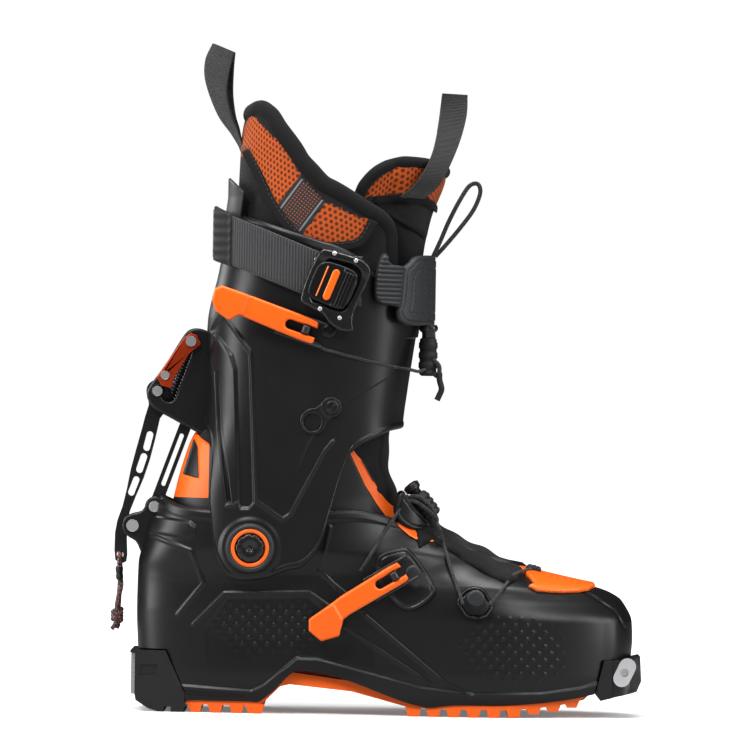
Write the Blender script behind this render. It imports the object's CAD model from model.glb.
"""Ski touring boot, built over its CAD pieces.

x runs from the heel (negative) to the toe (positive), z is up from the ground, and the
lateral side, which carries the buckles, lies at negative y. Lengths are in millimetres
unless noted; meshes are scaled by MM to metres. Most side outlines are (x, z) points.
"""
import math

import bmesh
import bpy
import numpy as np
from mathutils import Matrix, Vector


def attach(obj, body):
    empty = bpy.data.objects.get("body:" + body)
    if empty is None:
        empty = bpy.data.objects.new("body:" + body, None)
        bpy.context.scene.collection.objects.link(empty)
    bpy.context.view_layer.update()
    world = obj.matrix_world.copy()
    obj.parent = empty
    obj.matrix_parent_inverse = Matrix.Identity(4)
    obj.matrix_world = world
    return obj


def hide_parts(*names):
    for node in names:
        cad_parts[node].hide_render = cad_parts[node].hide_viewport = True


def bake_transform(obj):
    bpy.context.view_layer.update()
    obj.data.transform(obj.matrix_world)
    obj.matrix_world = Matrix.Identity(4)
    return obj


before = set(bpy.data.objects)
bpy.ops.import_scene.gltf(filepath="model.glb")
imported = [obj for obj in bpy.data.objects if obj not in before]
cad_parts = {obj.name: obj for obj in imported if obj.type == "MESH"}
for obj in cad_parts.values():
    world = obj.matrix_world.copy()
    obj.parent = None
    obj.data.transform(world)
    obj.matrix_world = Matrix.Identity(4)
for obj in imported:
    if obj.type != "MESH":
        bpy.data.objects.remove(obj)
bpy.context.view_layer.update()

MM = 0.001
TURN = 2*math.pi
SIDES = ((-1, "l"), (1, "m"))       # sign of y and name ending: lateral, medial
SIDEWAYS = (0, 1, 0.1)              # up vector for sweeps that run in the side view

# Shared places in the side view, (x, z)
ANKLE_Z = 96.3                      # the ankle pivot is at x = 0
SPRING_TOP = (-36.9, 215.6)
SPRING_FOOT = (-51.6, 178.0)
SPINE_HOLE = (-56.2, 186.2)
CHEEK_HOLES = ((-69.5, 107.4), (-57.0, 118.7))
HEEL_CORD = (-77, 90)
CUFF_LEVER = (33.5, 222)
INSTEP_LEVER = (86.6, 83.2)
CAM = (38.5, 251.5)
CUFF_TILT = 18                      # turn of each buckle about y, degrees
INSTEP_TILT = -31
STRAP_TILT = 21.7


# ---------------------------------------------------------------- curves and distances
def curve(stations):
    """Monotone cubic through (input, value) stations, held constant past both ends."""
    xs, ys = np.array(stations, float).T
    h = np.diff(xs)
    d = np.diff(ys)/h
    slope = np.zeros_like(ys)
    for i in range(1, len(xs) - 1):
        if d[i-1]*d[i] > 0:
            w1 = 2*h[i] + h[i-1]
            w2 = h[i] + 2*h[i-1]
            slope[i] = (w1 + w2)/(w1/d[i-1] + w2/d[i])
    slope[0], slope[-1] = d[0], d[-1]

    def value(x):
        x = np.clip(np.asarray(x, float), xs[0], xs[-1])
        i = np.clip(np.searchsorted(xs, x, side="right") - 1, 0, len(h) - 1)
        t = (x - xs[i])/h[i]
        t2, t3 = t*t, t*t*t
        return ((2*t3 - 3*t2 + 1)*ys[i] + (t3 - 2*t2 + t)*h[i]*slope[i]
                + (-2*t3 + 3*t2)*ys[i+1] + (t3 - t2)*h[i]*slope[i+1])
    return value


def ease(x, start, end):
    """Smooth step from 0 at start to 1 at end."""
    t = np.clip((x - start)/(end - start), 0, 1)
    return t*t*(3 - 2*t)


def line_dist(x, z, pts, closed=False):
    d = np.full(np.shape(x), 1e9)
    n = len(pts)
    for i in range(n if closed else n - 1):
        ax, az = pts[i]
        bx, bz = pts[(i+1) % n]
        dx, dz = bx - ax, bz - az
        t = np.clip(((x - ax)*dx + (z - az)*dz)/(dx*dx + dz*dz + 1e-12), 0, 1)
        d = np.minimum(d, np.hypot(x - ax - t*dx, z - az - t*dz))
    return d


def poly_dist(x, z, pts):
    """Distance to a closed outline, negative inside."""
    d = line_dist(x, z, pts, True)
    within = np.zeros(np.shape(x), bool)
    for i in range(len(pts)):
        ax, az = pts[i]
        bx, bz = pts[(i+1) % len(pts)]
        within ^= ((az > z) != (bz > z)) & (x < (bx - ax)*(z - az)/((bz - az) + 1e-12) + ax)
    return np.where(within, -d, d)


def inside(x, z, pts, start, end):
    """0 to 1 as the depth inside an outline goes from start to end."""
    return ease(-poly_dist(x, z, pts), start, end)


def along(x, z, pts, start, end):
    """0 to 1 as minus the distance to a line goes from start to end."""
    return ease(-line_dist(x, z, pts), start, end)


def unit(v):
    return v/np.maximum(np.linalg.norm(v, axis=-1, keepdims=True), 1e-9)


def run_length(pts):
    return np.r_[0, np.cumsum(np.linalg.norm(np.diff(pts, axis=0), axis=1))]


def resample(pts, count):
    pts = np.asarray(pts, float)
    s = run_length(pts)
    t = np.linspace(0, s[-1], count)
    return np.stack([np.interp(t, s, pts[:, k]) for k in range(pts.shape[1])], 1)


def smooth_loop(pts, passes=2):
    """Closed outline with its corners cut (Chaikin)."""
    p = np.array(pts, float)
    for _ in range(passes):
        q = np.roll(p, -1, axis=0)
        p = np.stack([0.75*p + 0.25*q, 0.25*p + 0.75*q], 1).reshape(-1, p.shape[1])
    return p


def smooth_line(pts, passes=2):
    """Open line with its corners cut and its ends kept."""
    p = np.array(pts, float)
    for _ in range(passes):
        q, r = p[1:], p[:-1]
        cut = np.stack([0.75*r + 0.25*q, 0.25*r + 0.75*q], 1).reshape(-1, p.shape[1])
        p = np.vstack([p[:1], cut, p[-1:]])
    return p


def spline(pts, count):
    """Catmull-Rom through points, evenly resampled."""
    p = np.asarray(pts, float)
    p = np.vstack([2*p[0] - p[1], p, 2*p[-1] - p[-2]])
    out = []
    for i in range(len(p) - 3):
        p0, p1, p2, p3 = p[i:i+4]
        for t in np.linspace(0, 1, 24, endpoint=False):
            out.append(0.5*((2*p1) + (-p0 + p2)*t + (2*p0 - 5*p1 + 4*p2 - p3)*t*t
                            + (-p0 + 3*p1 - 3*p2 + p3)*t**3))
    out.append(p[-2])
    return resample(np.array(out), count)


def rounded_poly(pts, radius, steps=5):
    """Polygon with each corner replaced by a small curve; near-straight corners stay."""
    out = []
    corners = [np.array(p, float) for p in pts]
    for i, b in enumerate(corners):
        u = corners[i-1] - b
        v = corners[(i+1) % len(corners)] - b
        lu, lv = np.linalg.norm(u), np.linalg.norm(v)
        u /= lu
        v /= lv
        angle = math.acos(max(-1, min(1, float(np.dot(u, v)))))
        if angle > 3.1:
            out.append(tuple(b))
            continue
        d = min(radius/math.tan(angle/2), lu*0.49, lv*0.49)
        p, q = b + u*d, b + v*d
        for j in range(steps + 1):
            t = j/steps
            out.append(tuple((1-t)**2*p + 2*(1-t)*t*b + t*t*q))
    return out


# Flat shapes as signed distance functions of (u, v), negative inside
def polygon(pts):
    pts = [tuple(p) for p in pts]
    return lambda u, v: poly_dist(u, v, pts)


def cut(shape, *holes):
    def dist(u, v):
        d = shape(u, v)
        for hole in holes:
            d = np.maximum(d, -hole(u, v))
        return d
    return dist


def union(*shapes):
    return lambda u, v: np.minimum.reduce([shape(u, v) for shape in shapes])


def disc(centre, radius):
    return lambda u, v: np.hypot(u - centre[0], v - centre[1]) - radius


def bar(start, end, radius):
    return lambda u, v: line_dist(u, v, [start, end]) - radius


def rounded_rect(x0, y0, x1, y1, r):
    def dist(u, v):
        dx = np.abs(u - (x0+x1)/2) - ((x1-x0)/2 - r)
        dy = np.abs(v - (y0+y1)/2) - ((y1-y0)/2 - r)
        return (np.hypot(np.maximum(dx, 0), np.maximum(dy, 0))
                + np.minimum(np.maximum(dx, dy), 0) - r)
    return dist


def groove(dist, inset, outer, inner):
    """1 on a line at inset inside an outline, 0 farther than outer from that line."""
    return ease(-np.abs(-dist - inset), -outer, -inner)


def grooved(shape, height, depth, inset, outer, inner):
    """Plate face with a groove that follows its outline."""
    return lambda u, v: height - depth*groove(shape(u, v), inset, outer, inner)


# Placements: (u, v, height over the ground surface) to x, y, z
def on_side(anchor, y, tilt):
    """Flat on the lateral side, turned about y by tilt degrees."""
    c, s = math.cos(math.radians(tilt)), math.sin(math.radians(tilt))
    return lambda u, v, h: (anchor[0] + u*c + v*s, y - h, anchor[1] - u*s + v*c)


def side_plane(side, offset):
    return lambda x, z, h: (x, side*(offset + h), z)


# ---------------------------------------------------------------- meshes
def tell(obj, owner):
    """owner: (body the piece rides or None, CAD piece it replaces, finish slot)"""
    body, replaced, finish = owner
    if body:
        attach(obj, body)
    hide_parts(replaced)


def add_attribute(mesh, name, values):
    attribute = mesh.attributes.new(name, "FLOAT", "POINT")
    attribute.data.foreach_set("value", np.asarray(values, float).ravel())


def add_mesh(name, verts, faces, mat=None, owner=None, uvs=None, attrs=None):
    mesh = bpy.data.meshes.new(name)
    mesh.from_pydata((np.asarray(verts, float)*MM).tolist(), [], faces)
    mesh.validate()
    mesh.polygons.foreach_set("use_smooth", [True]*len(mesh.polygons))
    if uvs is not None:
        layer = mesh.uv_layers.new(name="UVMap")
        index = np.zeros(len(mesh.loops), np.int32)
        mesh.loops.foreach_get("vertex_index", index)
        layer.data.foreach_set("uv", np.asarray(uvs, float)[index].ravel())
    for key, values in (attrs or {}).items():
        add_attribute(mesh, key, values)
    mesh.update()
    obj = bpy.data.objects.new(name, mesh)
    bpy.context.scene.collection.objects.link(obj)
    if mat is not None:
        mesh.materials.append(mat)
    if owner:
        tell(obj, owner)
    return obj


def add_mod(obj, kind, **settings):
    mod = obj.modifiers.new(kind.lower(), kind)
    for key, value in settings.items():
        setattr(mod, key, value)
    return mod


def split_edges(obj, degrees):
    add_mod(obj, "EDGE_SPLIT", split_angle=math.radians(degrees))


def face_outward(mesh, weld=False):
    bm = bmesh.new()
    bm.from_mesh(mesh)
    if weld:
        bmesh.ops.remove_doubles(bm, verts=bm.verts, dist=1e-6)
    bmesh.ops.recalc_face_normals(bm, faces=bm.faces)
    bm.to_mesh(mesh)
    bm.free()


def bake(obj):
    """Applies the modifiers."""
    deps = bpy.context.evaluated_depsgraph_get()
    mesh = bpy.data.meshes.new_from_object(obj.evaluated_get(deps))
    obj.modifiers.clear()
    obj.data = mesh
    return mesh


def displaced(grid, amount):
    """Moves a closed grid (rows up, columns round) along its normals."""
    du = np.roll(grid, -1, 1) - np.roll(grid, 1, 1)
    dv = np.gradient(grid, axis=0)
    return grid + unit(np.cross(du, dv))*amount[..., None]


def rings(surface, rows, columns):
    """Grid from surface(angles, s), s from 0 to 1; each half ring is evenly spaced."""
    angles = np.linspace(0, 180, 1400)
    out = []
    for s in np.linspace(0, 1, rows):
        q = resample(surface(angles, s), columns//2 + 1)
        r = resample(surface(-angles, s), columns//2 + 1)
        out.append(np.vstack([q[:-1], r[::-1][:-1]]))
    return np.array(out)


def rim_rows(a, b, outward, count, bulge):
    """Half-round rows that join edge a to edge b."""
    width = np.linalg.norm(a - b, axis=1, keepdims=True)
    out = []
    for k in range(1, count):
        t = math.pi*k/count
        out.append((a+b)/2 + (a-b)/2*math.cos(t) + outward*math.sin(t)*width*bulge)
    return out


def shell(name, outer, inner, mat, owner=None, closed=True, rim=5, bulge=0.5, uv=True,
          fields=None):
    """Outer and inner grid joined by rounded rims; an open sheet gets flat end caps."""
    n = outer.shape[1]
    grid = np.array(list(outer)
                    + rim_rows(outer[-1], inner[-1], unit(outer[-1] - outer[-2]), rim, bulge)
                    + list(inner[::-1])
                    + rim_rows(inner[0], outer[0], unit(outer[0] - outer[1]), rim, bulge))
    rows = len(grid)
    verts = grid.reshape(-1, 3)
    faces = []
    for j in range(rows):
        k = (j+1) % rows
        for i in range(n if closed else n - 1):
            i2 = (i+1) % n
            faces.append((j*n + i, j*n + i2, k*n + i2, k*n + i))
    if not closed:
        faces.append(tuple(j*n for j in range(rows)))
        faces.append(tuple(j*n + n - 1 for j in range(rows))[::-1])
    uvs = None
    if uv:
        uvs = np.zeros((rows, n, 2))
        uvs[:, 1:, 0] = np.cumsum(np.linalg.norm(np.diff(grid, axis=1), axis=2), 1)
        uvs[1:, :, 1] = np.cumsum(np.linalg.norm(np.diff(grid, axis=0), axis=2), 0)
        uvs = uvs.reshape(-1, 2)
    attrs = {key: field(*verts.T) for key, field in (fields or {}).items()}
    return add_mesh(name, verts, faces, mat, owner, uvs, attrs)


def lathe_y(name, profile, centre, sides, side, mat, owner, base=0.0, flute=None):
    """Turned about an axis along y through centre (x, z). profile: (radius, height over
    base); side is the sign of y; flute(radius, angle) can vary the radius."""
    verts, faces = [], []
    m = len(profile)
    for i in range(sides):
        t = TURN*i/sides
        for r, h in profile:
            r = flute(r, t) if flute else r
            verts.append((centre[0] + r*math.cos(t), (base + h)*side,
                          centre[1] + r*math.sin(t)))
    for i in range(sides):
        for j in range(m - 1):
            a = i*m + j
            b = ((i+1) % sides)*m + j
            faces.append((a, b, b+1, a+1) if side > 0 else (a, a+1, b+1, b))
    return add_mesh(name, verts, faces, mat, owner)


def lathe_axis(name, profile, centre, axis, sides, mat, flat, owner):
    """Turned about axis through centre. profile: (radius, station); flat squashes it."""
    axis = unit(np.array(axis, float))
    a = unit(np.cross(axis, (0, 1, 0)))
    b = np.cross(a, axis)
    verts, faces = [], []
    m = len(profile)
    for i in range(sides):
        t = TURN*i/sides
        for r, s in profile:
            verts.append(np.array(centre) + axis*s + a*(r*math.cos(t)*flat[0])
                         + b*(r*math.sin(t)*flat[1]))
    for i in range(sides):
        for j in range(m - 1):
            p, q = i*m + j, ((i+1) % sides)*m + j
            faces.append((p, p+1, q+1, q))
    obj = add_mesh(name, verts, faces, mat, owner)
    face_outward(obj.data, weld=True)
    return obj


def section(half_width, half_height, sides=12):
    return [(half_width*math.cos(TURN*i/sides), half_height*math.sin(TURN*i/sides))
            for i in range(sides)]


def sweep(name, path, profile, up, mat, owner=None):
    """Sweeps profile (sideways, upwards) along 3-D points; up is one vector or many."""
    path = np.asarray(path, float)
    profile = np.asarray(profile, float)
    tangent = unit(np.gradient(path, axis=0))
    across = unit(np.cross(tangent, np.broadcast_to(np.array(up, float), path.shape)))
    lift = np.cross(across, tangent)
    m, k = len(path), len(profile)
    verts = (path[:, None] + profile[None, :, :1]*across[:, None]
             + profile[None, :, 1:]*lift[:, None]).reshape(-1, 3)
    uvs = np.stack([np.repeat(run_length(path), k), np.tile(run_length(profile), m)], 1)
    faces = []
    for i in range(m - 1):
        for j in range(k):
            j2 = (j+1) % k
            faces.append((i*k + j, i*k + j2, (i+1)*k + j2, (i+1)*k + j))
    faces.append(tuple(range(k))[::-1])
    faces.append(tuple((m-1)*k + j for j in range(k)))
    return add_mesh(name, verts, faces, mat, owner, uvs)


def cord(name, path, radius, mat, owner, sides=12, up=SIDEWAYS):
    return sweep(name, path, section(radius, radius, sides), up, mat, owner)


def plate(name, shape, box, cell, place, top, bottom, edge, mat, owner, bottom_edge=0.0):
    """Plate over a flat shape, gridded at cell over box (u0, v0, u1, v1).
    top is a number or top(u, v); edge and bottom_edge are the roll-off radii."""
    u0, v0, u1, v1 = box
    columns = int(math.ceil((u1-u0)/cell)) + 1
    rows = int(math.ceil((v1-v0)/cell)) + 1
    u, v = np.meshgrid(np.linspace(u0, u1, columns), np.linspace(v0, v1, rows))
    step = 0.05*cell
    # grid points close to the outline are pulled onto it
    for _ in range(3):
        dist = shape(u, v)
        gu = (shape(u+step, v) - shape(u-step, v))/(2*step)
        gv = (shape(u, v+step) - shape(u, v-step))/(2*step)
        slope = np.maximum(gu*gu + gv*gv, 0.2)
        near = np.abs(dist) < 0.74*cell
        u = np.where(near, u - dist*gu/slope, u)
        v = np.where(near, v - dist*gv/slope, v)
    dist = shape(u, v)
    within = dist < 0.12*cell
    cells = within[:-1, :-1] & within[1:, :-1] & within[:-1, 1:] & within[1:, 1:]
    face = top(u, v) if callable(top) else np.full(u.shape, float(top))
    back = np.full(u.shape, float(bottom))
    depth = np.clip(-dist, 0, edge)
    face = face - (edge - np.sqrt(np.maximum(0, edge*edge - (edge - depth)**2)))
    face = np.maximum(face, back + 0.02)
    if bottom_edge > 0:
        depth = np.clip(-dist, 0, bottom_edge)
        arc = np.sqrt(np.maximum(0, bottom_edge**2 - (bottom_edge - depth)**2))
        back = np.minimum(back + (bottom_edge - arc), face - 0.01)
    used = np.zeros(u.shape, bool)
    used[:-1, :-1] |= cells
    used[1:, :-1] |= cells
    used[:-1, 1:] |= cells
    used[1:, 1:] |= cells
    k = int(used.sum())
    index = -np.ones(u.shape, int)
    index[used] = np.arange(k)
    uu, vv = u[used], v[used]
    verts = np.vstack([np.stack(place(uu, vv, h[used]), -1) for h in (face, back)])
    j, i = np.nonzero(cells)
    quads = np.stack([index[j, i], index[j, i+1], index[j+1, i+1], index[j+1, i]], 1)
    faces = [tuple(q) for q in quads.tolist()] + [tuple(q) for q in (quads[:, ::-1] + k).tolist()]
    # edges used by a single quad form the border
    border = {}
    for quad in quads.tolist():
        for s in range(4):
            a, b = quad[s], quad[(s+1) % 4]
            if (b, a) in border:
                del border[(b, a)]
            else:
                border[(a, b)] = 1
    faces += [(b, a, a+k, b+k) for (a, b) in border]
    obj = add_mesh(name, verts, faces, mat, owner, np.vstack([np.stack([uu, vv], 1)]*2))
    face_outward(obj.data)
    split_edges(obj, 50)
    return obj


def stitches(name, path, normals, mat, owner, length, gap, radius, lift):
    """Row of raised thread stitches along a line, thinner at their ends."""
    path = np.asarray(path, float)
    normals = np.broadcast_to(np.asarray(normals, float), path.shape)
    s = run_length(path)
    ring = np.array([(math.cos(t), math.sin(t)) for t in np.linspace(0, TURN, 7)[:-1]])
    t = np.linspace(0, 1, 6)
    verts, faces = [], []
    for k in range(int(s[-1]/(length + gap))):
        at = k*(length + gap) + length*t
        centre = np.stack([np.interp(at, s, path[:, j]) for j in range(3)], 1)
        normal = unit(np.stack([np.interp(at, s, normals[:, j]) for j in range(3)], 1))
        across = np.cross(unit(np.gradient(centre, axis=0)), normal)
        thick = radius*np.sin(np.pi*np.clip(t, 0.06, 0.94))**0.5
        centre = centre + normal*(lift*np.sin(np.pi*t))[:, None]
        o = len(verts)*6
        for j in range(6):
            verts.append(centre[j] + (ring[:, :1]*across[j] + ring[:, 1:]*normal[j])*thick[j])
        for j in range(5):
            for i in range(6):
                i2 = (i+1) % 6
                faces.append((o + j*6 + i, o + j*6 + i2, o + (j+1)*6 + i2, o + (j+1)*6 + i))
        faces.append(tuple(o + i for i in range(6))[::-1])
        faces.append(tuple(o + 30 + i for i in range(6)))
    return add_mesh(name, np.vstack(verts), faces, mat, owner)


# ---------------------------------------------------------------- materials
class Shader:
    """A principled material with short ways to add nodes. Inputs: numbers or sockets."""

    def __init__(self, name):
        self.material = bpy.data.materials.new(name)
        self.material.use_nodes = True
        self.tree = self.material.node_tree
        self.surface = self.tree.nodes["Principled BSDF"]
        self.coords = None

    def node(self, kind, **settings):
        node = self.tree.nodes.new(kind)
        for key, value in settings.items():
            setattr(node, key, value)
        return node

    def feed(self, value, socket):
        if isinstance(value, (int, float)):
            socket.default_value = value
        elif isinstance(value, tuple):
            same = len(value) == len(socket.default_value)
            socket.default_value = value if same else (*value, 1.0)
        else:
            self.tree.links.new(value, socket)

    def set(self, **inputs):
        for key, value in inputs.items():
            self.feed(value, self.surface.inputs[key.replace("_", " ")])

    def coord(self, kind):
        if self.coords is None:
            self.coords = self.node("ShaderNodeTexCoord")
        return self.coords.outputs[kind]

    def split(self, vector):
        node = self.node("ShaderNodeSeparateXYZ")
        self.feed(vector, node.inputs[0])
        return node.outputs

    def side_mm(self):
        """x and z of the object in mm"""
        parts = self.split(self.coord("Object"))
        return self.mul(parts[0], 1000.0), self.mul(parts[2], 1000.0)

    def y_mm(self):
        return self.mul(self.split(self.coord("Object"))[1], 1000.0)

    def attr(self, name):
        return self.node("ShaderNodeAttribute", attribute_name=name).outputs["Fac"]

    def math(self, op, a, b=0.0, c=None, clamp=False):
        node = self.node("ShaderNodeMath", operation=op, use_clamp=clamp)
        self.feed(a, node.inputs[0])
        self.feed(b, node.inputs[1])
        if c is not None:
            self.feed(c, node.inputs[2])
        return node.outputs[0]

    def mul(self, a, b):
        return self.math("MULTIPLY", a, b)

    def add(self, a, b):
        return self.math("ADD", a, b)

    def sub(self, a, b):
        return self.math("SUBTRACT", a, b)

    def div(self, a, b):
        return self.math("DIVIDE", a, b)

    def abs(self, a):
        return self.math("ABSOLUTE", a)

    def sine(self, a):
        return self.math("SINE", a)

    def wave(self, value, period):
        return self.sine(self.mul(value, TURN/period))

    def knit(self, x, y, z, pitch):
        return self.mul(self.wave(self.add(x, y), pitch), self.wave(z, pitch))

    def half(self, value, amount=0.5, clamp=False):
        """value*amount + amount: a wave of -1 to 1 becomes 0 to 2*amount"""
        return self.math("MULTIPLY_ADD", value, amount, amount, clamp=clamp)

    def cell(self, value, pitch):
        """-0.5 to 0.5 across each repeat"""
        return self.sub(self.math("FRACT", self.div(value, pitch)), 0.5)

    def length(self, a, b):
        return self.math("SQRT", self.add(self.mul(a, a), self.mul(b, b)))

    def noise(self, scale, detail=3.0, rough=0.55, vector=None):
        node = self.node("ShaderNodeTexNoise")
        for key, value in (("Scale", scale), ("Detail", detail), ("Roughness", rough)):
            node.inputs[key].default_value = value
        self.feed(vector if vector is not None else self.coord("Object"),
                  node.inputs["Vector"])
        return node.outputs["Fac"]

    def mix(self, amount, a, b):
        node = self.node("ShaderNodeMix", data_type="RGBA")
        for value, socket in ((amount, 0), (a, 6), (b, 7)):
            self.feed(value, node.inputs[socket])
        return node.outputs[2]

    def mix_value(self, amount, a, b):
        node = self.node("ShaderNodeMix", data_type="FLOAT")
        for value, socket in ((amount, 0), (a, 2), (b, 3)):
            self.feed(value, node.inputs[socket])
        return node.outputs[0]

    def bump(self, height, strength, dist, under=None):
        node = self.node("ShaderNodeBump")
        node.inputs["Strength"].default_value = strength
        node.inputs["Distance"].default_value = dist
        self.feed(height, node.inputs["Height"])
        if under is not None:
            self.feed(under, node.inputs["Normal"])
        return node.outputs[0]

    def map_range(self, value, limits):
        """Smooth map; limits: (from low, from high, to low, to high)"""
        node = self.node("ShaderNodeMapRange", interpolation_type="SMOOTHSTEP")
        self.feed(value, node.inputs[0])
        for i, limit in enumerate(limits):
            node.inputs[i+1].default_value = limit
        return node.outputs[0]

    def below(self, value, edge, soft):
        """1 where value < edge, with a soft edge"""
        return self.map_range(value, (edge - soft, edge + soft, 1.0, 0.0))

    def wear(self):
        geometry = self.node("ShaderNodeNewGeometry")
        # gain and offset leave only the sharp convex edges
        return self.math("MULTIPLY_ADD", geometry.outputs["Pointiness"], 9.0, -4.62,
                         clamp=True)

    def hex_holes(self, u, v, pitch, radius, soft):
        """Round holes on a triangular lattice: mask (1 in a hole) and distance."""
        root3 = math.sqrt(3)

        def lattice(shift):
            a = self.sub(self.math("FRACT", self.add(self.div(u, pitch), shift)), 0.5)
            row = self.math("FRACT", self.add(self.div(v, pitch*root3), shift))
            return self.length(a, self.mul(self.sub(row, 0.5), root3))
        d = self.math("MINIMUM", lattice(0), lattice(0.5))
        return self.below(d, radius, soft), d


def scaled(colour, factor, lift=0.0):
    return tuple(min(1, factor*c + lift) for c in colour)


def shell_plastic(name="shell_plastic", base=(0.0058, 0.0060, 0.0066), rough=0.35):
    sh = Shader(name)
    tone = sh.noise(scale=9, detail=4, rough=0.6)
    grain = sh.noise(scale=2200, detail=2, rough=0.5)
    cloud = sh.noise(scale=60, detail=5, rough=0.62)
    wear = sh.wear()
    colour = sh.mix(tone, scaled(base, 0.86), scaled(base, 1.18))
    colour = sh.mix(sh.mul(wear, 0.5), colour, (0.035, 0.036, 0.038))
    under = sh.bump(cloud, strength=0.04, dist=0.0004)
    sh.set(Base_Color=colour, Specular_IOR_Level=0.5,
           Roughness=sh.add(sh.mix_value(cloud, rough-0.05, rough+0.07), sh.mul(wear, 0.06)),
           Normal=sh.bump(grain, strength=0.035, dist=0.0001, under=under))
    return sh.material


def gloss_black():
    sh = Shader("gloss_black")
    cloud = sh.noise(scale=80, detail=4, rough=0.6)
    grain = sh.noise(scale=1500, detail=2)
    sh.set(Base_Color=sh.mix(cloud, (0.010, 0.010, 0.011), (0.018, 0.018, 0.019)),
           Roughness=sh.mix_value(cloud, 0.2, 0.32), Coat_Weight=0.25,
           Normal=sh.bump(grain, strength=0.06, dist=0.0001))
    return sh.material


def orange_plastic():
    base = (0.88, 0.142, 0.006)
    rough = 0.36
    sh = Shader("orange_plastic")
    tone = sh.noise(scale=14, detail=4, rough=0.6)
    grain = sh.noise(scale=1800, detail=2)
    cloud = sh.noise(scale=90, detail=5, rough=0.6)
    colour = sh.mix(tone, scaled(base, 0.90), scaled(base, 1.06))
    colour = sh.mix(sh.mul(sh.wear(), 0.35), colour, (1.0, 0.36, 0.10))
    sh.set(Base_Color=colour, Roughness=sh.mix_value(cloud, rough-0.06, rough+0.08),
           Normal=sh.bump(grain, strength=0.10, dist=0.0001),
           Subsurface_Weight=0.04, Subsurface_Radius=(0.004, 0.001, 0.0004))
    return sh.material


def orange_rubber():
    sh = Shader("orange_rubber")
    tone = sh.noise(scale=20, detail=5, rough=0.65)
    grain = sh.noise(scale=1300, detail=3, rough=0.6)
    grime = sh.noise(scale=140, detail=6, rough=0.7)
    colour = sh.mix(tone, (0.80, 0.130, 0.007), (0.90, 0.155, 0.010))
    ramp = sh.node("ShaderNodeValToRGB")
    # darker grime shows only at the peaks of its noise
    for element, position, value in zip(ramp.color_ramp.elements, (0.62, 0.78), (0, 1)):
        element.position = position
        element.color = (value, value, value, 1)
    sh.feed(grime, ramp.inputs[0])
    sh.set(Base_Color=sh.mix(ramp.outputs[0], colour, (0.62, 0.11, 0.012)),
           Roughness=sh.mix_value(grime, 0.52, 0.68),
           Normal=sh.bump(grain, strength=0.25, dist=0.00018))
    return sh.material


def black_rubber():
    sh = Shader("black_rubber")
    tone = sh.noise(scale=20, detail=5, rough=0.65)
    grain = sh.noise(scale=1400, detail=3, rough=0.6)
    colour = sh.mix(tone, (0.007, 0.007, 0.0075), (0.013, 0.013, 0.0135))
    colour = sh.mix(sh.mul(sh.wear(), 0.5), colour, (0.06, 0.06, 0.06))
    sh.set(Base_Color=colour, Roughness=sh.mix_value(tone, 0.58, 0.72),
           Normal=sh.bump(grain, strength=0.3, dist=0.00016))
    return sh.material


def steel(name="steel", base=(0.60, 0.60, 0.61), rough=0.27):
    sh = Shader(name)
    mapping = sh.node("ShaderNodeMapping")
    mapping.inputs["Scale"].default_value = (1, 1, 30)      # brushed across z
    sh.feed(sh.coord("Object"), mapping.inputs["Vector"])
    brushed = sh.noise(scale=160, detail=4, rough=0.6, vector=mapping.outputs[0])
    tone = sh.noise(scale=30, detail=4, rough=0.6)
    sh.set(Metallic=0.72, Base_Color=sh.mix(tone, scaled(base, 0.86), base),
           Roughness=sh.mix_value(brushed, rough-0.06, rough+0.10),
           Normal=sh.bump(brushed, strength=0.05, dist=0.0001))
    return sh.material


def coloured_metal(name, base, rough):
    sh = Shader(name)
    grain = sh.noise(scale=700, detail=3, rough=0.6)
    tone = sh.noise(scale=40, detail=4, rough=0.6)
    colour = sh.mix(tone, scaled(base, 0.8), base)
    colour = sh.mix(sh.mul(sh.wear(), 0.6), colour, scaled(base, 1.8, lift=0.05))
    sh.set(Metallic=0.75, Base_Color=colour,
           Roughness=sh.mix_value(tone, rough-0.05, rough+0.1),
           Normal=sh.bump(grain, strength=0.08, dist=0.0001))
    return sh.material


def webbing(name="webbing", base=(0.006, 0.006, 0.007), rib=(0.11, 0.112, 0.118), pitch=1.9):
    """Ribs run across the band; each rib is a chain of small stitches."""
    stitch_pitch = 0.75
    sh = Shader(name)
    parts = sh.split(sh.coord("UV"))
    u, v = parts[0], parts[1]
    ribs = sh.wave(u, pitch)
    shift = sh.mul(sh.math("FLOOR", sh.div(u, pitch)), math.pi)
    chain = sh.sine(sh.add(sh.mul(v, TURN/stitch_pitch), shift))
    height = sh.add(sh.mul(ribs, 0.6), sh.mul(chain, 0.4))
    fuzz = sh.noise(scale=500, detail=3, rough=0.6)
    colour = sh.mix(sh.half(height, clamp=True), base, rib)
    colour = sh.mix(sh.mul(fuzz, 0.5), colour, base)
    sh.set(Base_Color=colour, Roughness=0.82, Sheen_Weight=0.25, Sheen_Roughness=0.45,
           Normal=sh.bump(height, strength=0.75, dist=0.00028))
    return sh.material


def fabric(name="fabric", dark=(0.016, 0.016, 0.0175), light=(0.034, 0.034, 0.037), pitch=1.1):
    sh = Shader(name)
    x, z = sh.side_mm()
    knit = sh.knit(x, sh.y_mm(), z, pitch)
    tone = sh.noise(scale=30, detail=5, rough=0.65)
    fuzz = sh.noise(scale=900, detail=2)
    colour = sh.mix(sh.half(knit), dark, light)
    colour = sh.mix(sh.mul(tone, 0.6), colour, scaled(dark, 0.6))
    sh.set(Base_Color=colour, Roughness=0.86, Specular_IOR_Level=0.25,
           Sheen_Weight=0.08, Sheen_Roughness=0.4,
           Normal=sh.bump(sh.add(knit, sh.mul(fuzz, 0.8)), strength=0.35, dist=0.0002))
    return sh.material


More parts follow.
